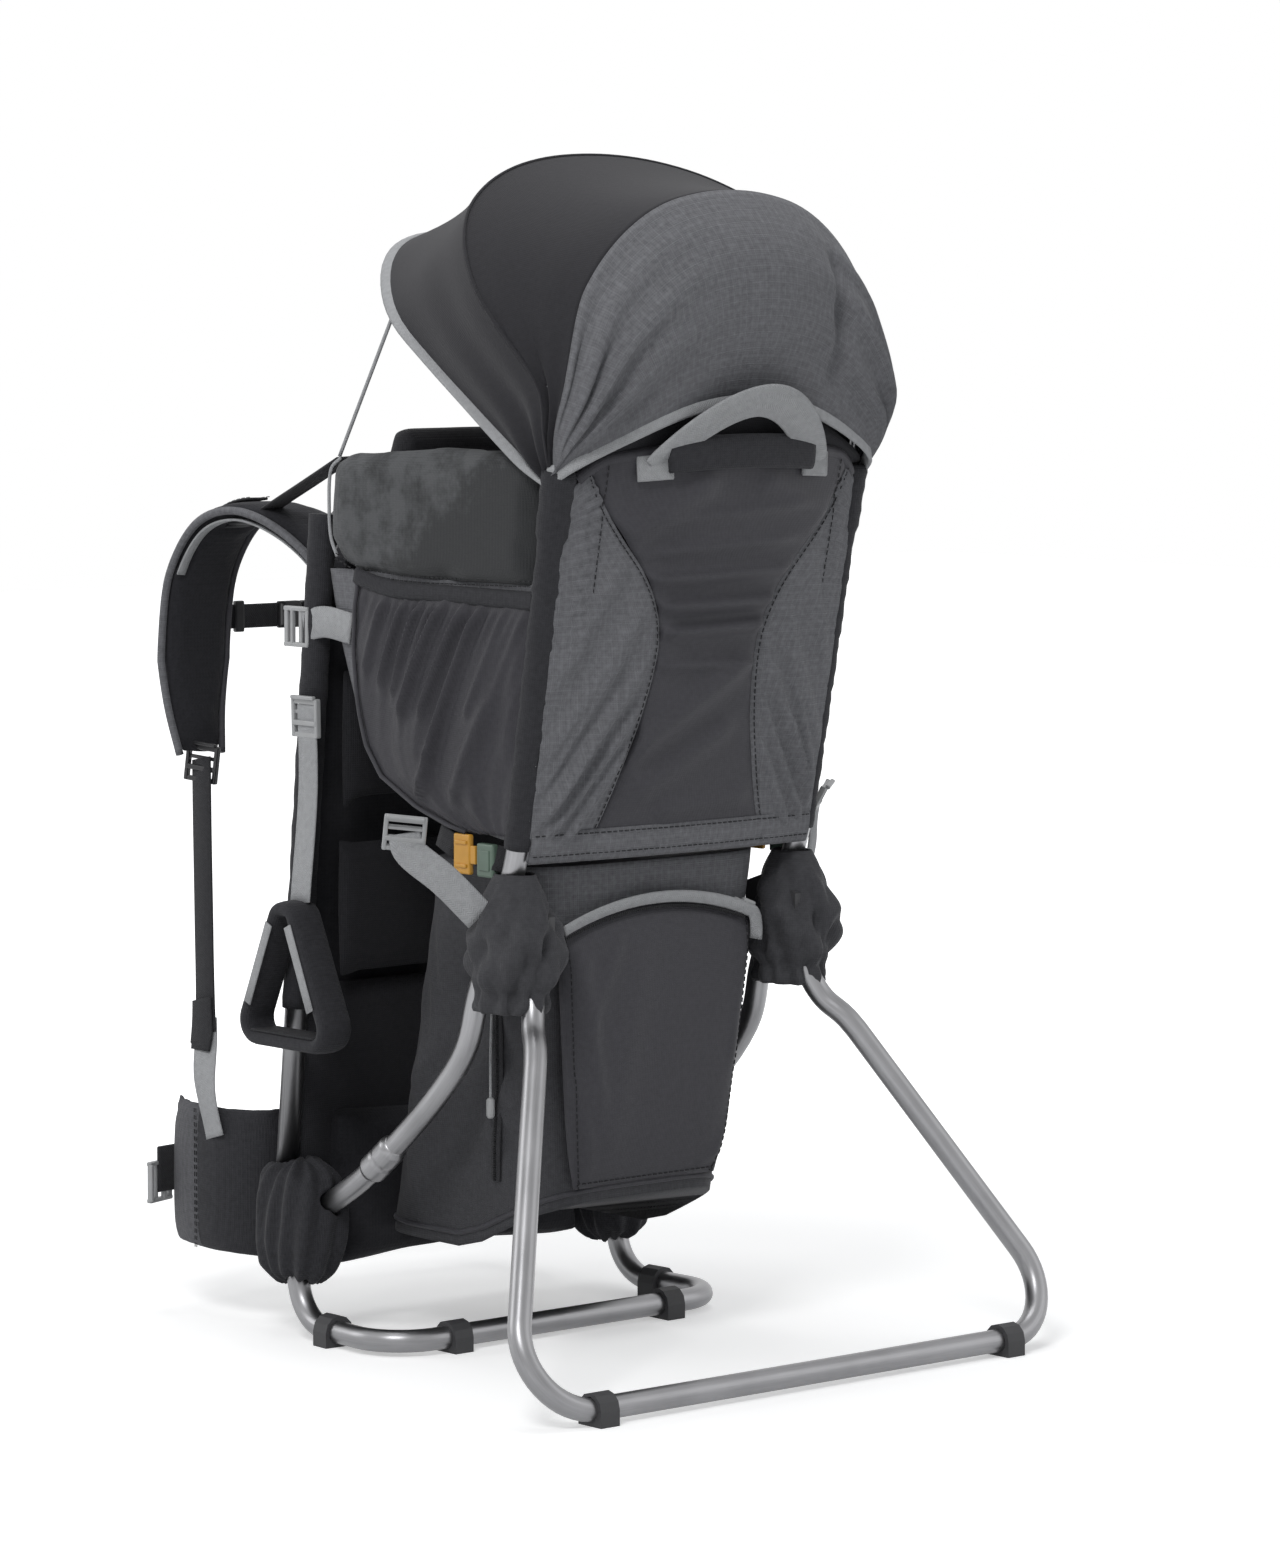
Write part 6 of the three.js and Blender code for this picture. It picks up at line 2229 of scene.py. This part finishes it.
@dataclass
class Stirrups:
    """The child's foot loops and the compression straps at the kickstand's hinges."""

    finishes: Finishes
    hardware: Hardware
    x: float = 185.4
    y: float = 126.0
    sole: float = 236.0
    top: float = 352.0

    def build(self) -> None:
        """Makes the loops, their webbing and buckles."""
        f = self.finishes
        rise = self.top - self.sole
        corners = ((0, 5), (58, 5), (9, rise - 6), (-9, rise - 6), (-58, 5), (0, 5))
        ring = bent([at(self.x, self.y + y, self.sole + z) for y, z in corners], [0.014, 0.009, 0.009, 0.014],
                    8)
        ring = resampled(ring, 120)[:-1]
        loop = swept("loop", ring, lambda t: pad_section(0.031, 0.0125, 20), lambda t, tangent: RIGHT, f.dark,
                     True)
        pair("stirrup_loop", loop, "stirrup_{side}", "dark_cloth", "stirrup")
        sole = [at(self.x, self.y + y, self.sole + 11.2) for y in range(-42, 43, 6)]
        pair("stirrup_sole", band("sole", sole, RIGHT, 0.026, 0.002, f.black_tape), "stirrup_{side}",
             "dark_cloth")
        anchor = upright(470).x + TUBE_R + 1.8
        run = smooth([at(anchor, 141, 505), at(anchor + 2, 137, 440), at(self.x - 4, 124, self.top - 2)], 24)
        web = band("web", run, Vector((0, 1, 0.1)), 0.024, 0.0022, f.grey_tape)
        pair("stirrup_webbing", web, "stirrup_{side}", "grey_webbing")
        lock = self.hardware.ladder_lock("lock", f.grey, at(anchor, 142, 494), FORWARD,
                                         Vector((0.02, 0.05, 1)), 25)
        pair("stirrup_buckle", lock, "pack", "black_plastic")
        for name, y in (("front", 1), ("rear", -1)):
            tag = [at(self.x + 16.4, self.y + y * lerp(12, 44, k), self.sole + lerp(98, 26, k))
                   for k in (0.0, 0.3, 0.6, 0.9)]
            piece = band("tag", tag, Vector((0, 0.9, 0.42 * y)), 0.009, 0.0016, f.grey_tape)
            pair(f"stirrup_tag_{name}", piece, "stirrup_{side}", "grey_webbing")
        upper = [there(upright(z)) for z in range(262, 662, 8)]
        wrap = lambda t: 1 + 0.03 * sin(90 * t) + 0.02 * sin(41 * t)
        pair("upright_sleeve", pipe("wrap", upper, 0.0112, f.dark_uv, 18, wrap), "pack", "dark_cloth")
        dress(surface("lower_back_cloth", self.behind, 12, 8, f.lining, 0.002), "pack", "dark_cloth")
        self.compression()

    def behind(self, u: float, v: float) -> Vector:
        """A point of the cloth between the uprights' lower ends."""
        tube = upright(lerp(124, 280, v))
        return at(lerp(-1, 1, u) * (tube.x - 6), tube.y - 4, tube.z)

    def compression(self) -> None:
        """Makes the pale straps and ladder-locks beside the hinge covers."""
        f = self.finishes
        foot, lock_at = Vector((166, -82, 356)), Vector((212, -48, 420))
        run = smooth([there(p) for p in (foot, Vector((188, -66, 384)), lock_at + Vector((-3, 0, -12)),
                                         lock_at)], 24)
        web = band("web", run, Vector((0.76, 0.62, 0.1)), 0.025, 0.0022, f.grey_tape)
        pair("compression_webbing", web, "pack", "grey_webbing")
        lock = self.hardware.ladder_lock("lock", f.grey, there(lock_at), Vector((0.76, 0.62, 0.1)),
                                         Vector((0.3, -0.3, 0.8)), 25)
        pair("compression_buckle", lock, "pack", "grey_plastic")


# ---- Studio ----

@dataclass
class Studio:
    """A pale floor, soft lamps and the camera."""

    eye: Vector
    target: Vector
    lens: float = 130.5

    def build(self) -> None:
        """Sets up the floor, world, lamps and camera."""
        self.floor()
        self.world()
        self.lamps()
        self.camera()
        bpy.context.scene.view_settings.view_transform = "Standard"

    def floor(self) -> None:
        """Makes the plain floor."""
        reach = 9.0
        corners = [Vector((x, y, 0)) for x,
                   y in ((-reach, -reach), (reach, -reach), (reach, reach), (-reach, reach))]
        tree = Tree(bpy.data.materials.new("pale_floor"))
        tree.set(Base_Color=(0.9, 0.9, 0.9, 1), Roughness=0.9, Emission_Color=(1, 1, 1, 1))
        place = tree.node("ShaderNodeTexCoord").outputs["Object"]
        away = tree.node("ShaderNodeVectorMath", {0: place}, operation="LENGTH").outputs["Value"]
        edge = {"Value": away, "From Min": 0.45, "From Max": 1.3, "To Min": 0.4}
        share = tree.node("ShaderNodeMapRange", edge, interpolation_type="SMOOTHSTEP").outputs[0]
        tree.links.new(tree.times(share, tree.seen()), tree.shader.inputs["Emission Strength"])
        made("floor", corners, [(0, 1, 2, 3)], tree.material)

    def world(self) -> None:
        """Makes an even pale sky that the camera sees as white."""
        world = bpy.data.worlds.new("studio_sky")
        bpy.context.scene.world = world
        tree = Tree(world)
        tree.nodes.clear()
        lit = tree.node("ShaderNodeBackground", {"Color": (0.94, 0.97, 1, 1), "Strength": 0.29})
        white = tree.node("ShaderNodeBackground", {"Color": (1, 1, 1, 1)})
        mix = tree.node("ShaderNodeMixShader", {0: tree.seen(), 1: lit.outputs[0], 2: white.outputs[0]})
        tree.node("ShaderNodeOutputWorld", {0: mix.outputs[0]})

    def lamps(self) -> None:
        """Hangs the soft lamps."""
        places = (("key", (-2.4, -1.6, 3.0), 54, 1.1), ("fill", (2.6, -2.4, 1.6), 13, 2.4),
                  ("top", (0.2, 0.4, 3.2), 26, 1.6),
                  ("rim", (-2.2, 2.4, 1.8), 20, 1.6))
        for name, spot, power, size in places:
            lamp = bpy.data.lights.new(name, "AREA")
            lamp.energy, lamp.size = power, size
            self.aimed(held(name, lamp), Vector(spot), Vector((0, 0, 0.45)))

    def camera(self) -> None:
        """Sets the camera at its angle."""
        data = bpy.data.cameras.new("camera")
        data.lens, data.clip_end = self.lens, 50
        bpy.context.scene.camera = self.aimed(held("camera", data), self.eye, self.target)

    def aimed(self, holder: Piece, spot: Vector, target: Vector) -> Piece:
        """Puts a lamp or camera at a spot, turned to a target, and returns it."""
        holder.location = spot
        holder.rotation_euler = (target - spot).to_track_quat("-Z", "Y").to_euler()
        return holder


def main() -> None:
    """Builds the carrier and its studio."""
    logging.basicConfig(level=logging.INFO, format="%(message)s")
    Studio(at(-2838, -3383.7, 842), at(64, 0, 444.5)).build()
    finishes = Finishes()
    stitching = Stitching(finishes.thread)
    tubes = TubeFrame(finishes)
    tubes.build()
    tubes.boots()
    Canopy(finishes).build()
    hardware = Hardware()
    Cabin(finishes, stitching, hardware).build()
    Bag(finishes, stitching, hardware).build()
    Harness(finishes, stitching, hardware).build()
    HipBelt(finishes, stitching, hardware).build()
    Stirrups(finishes, hardware).build()


if __name__ == "__main__":
    main()
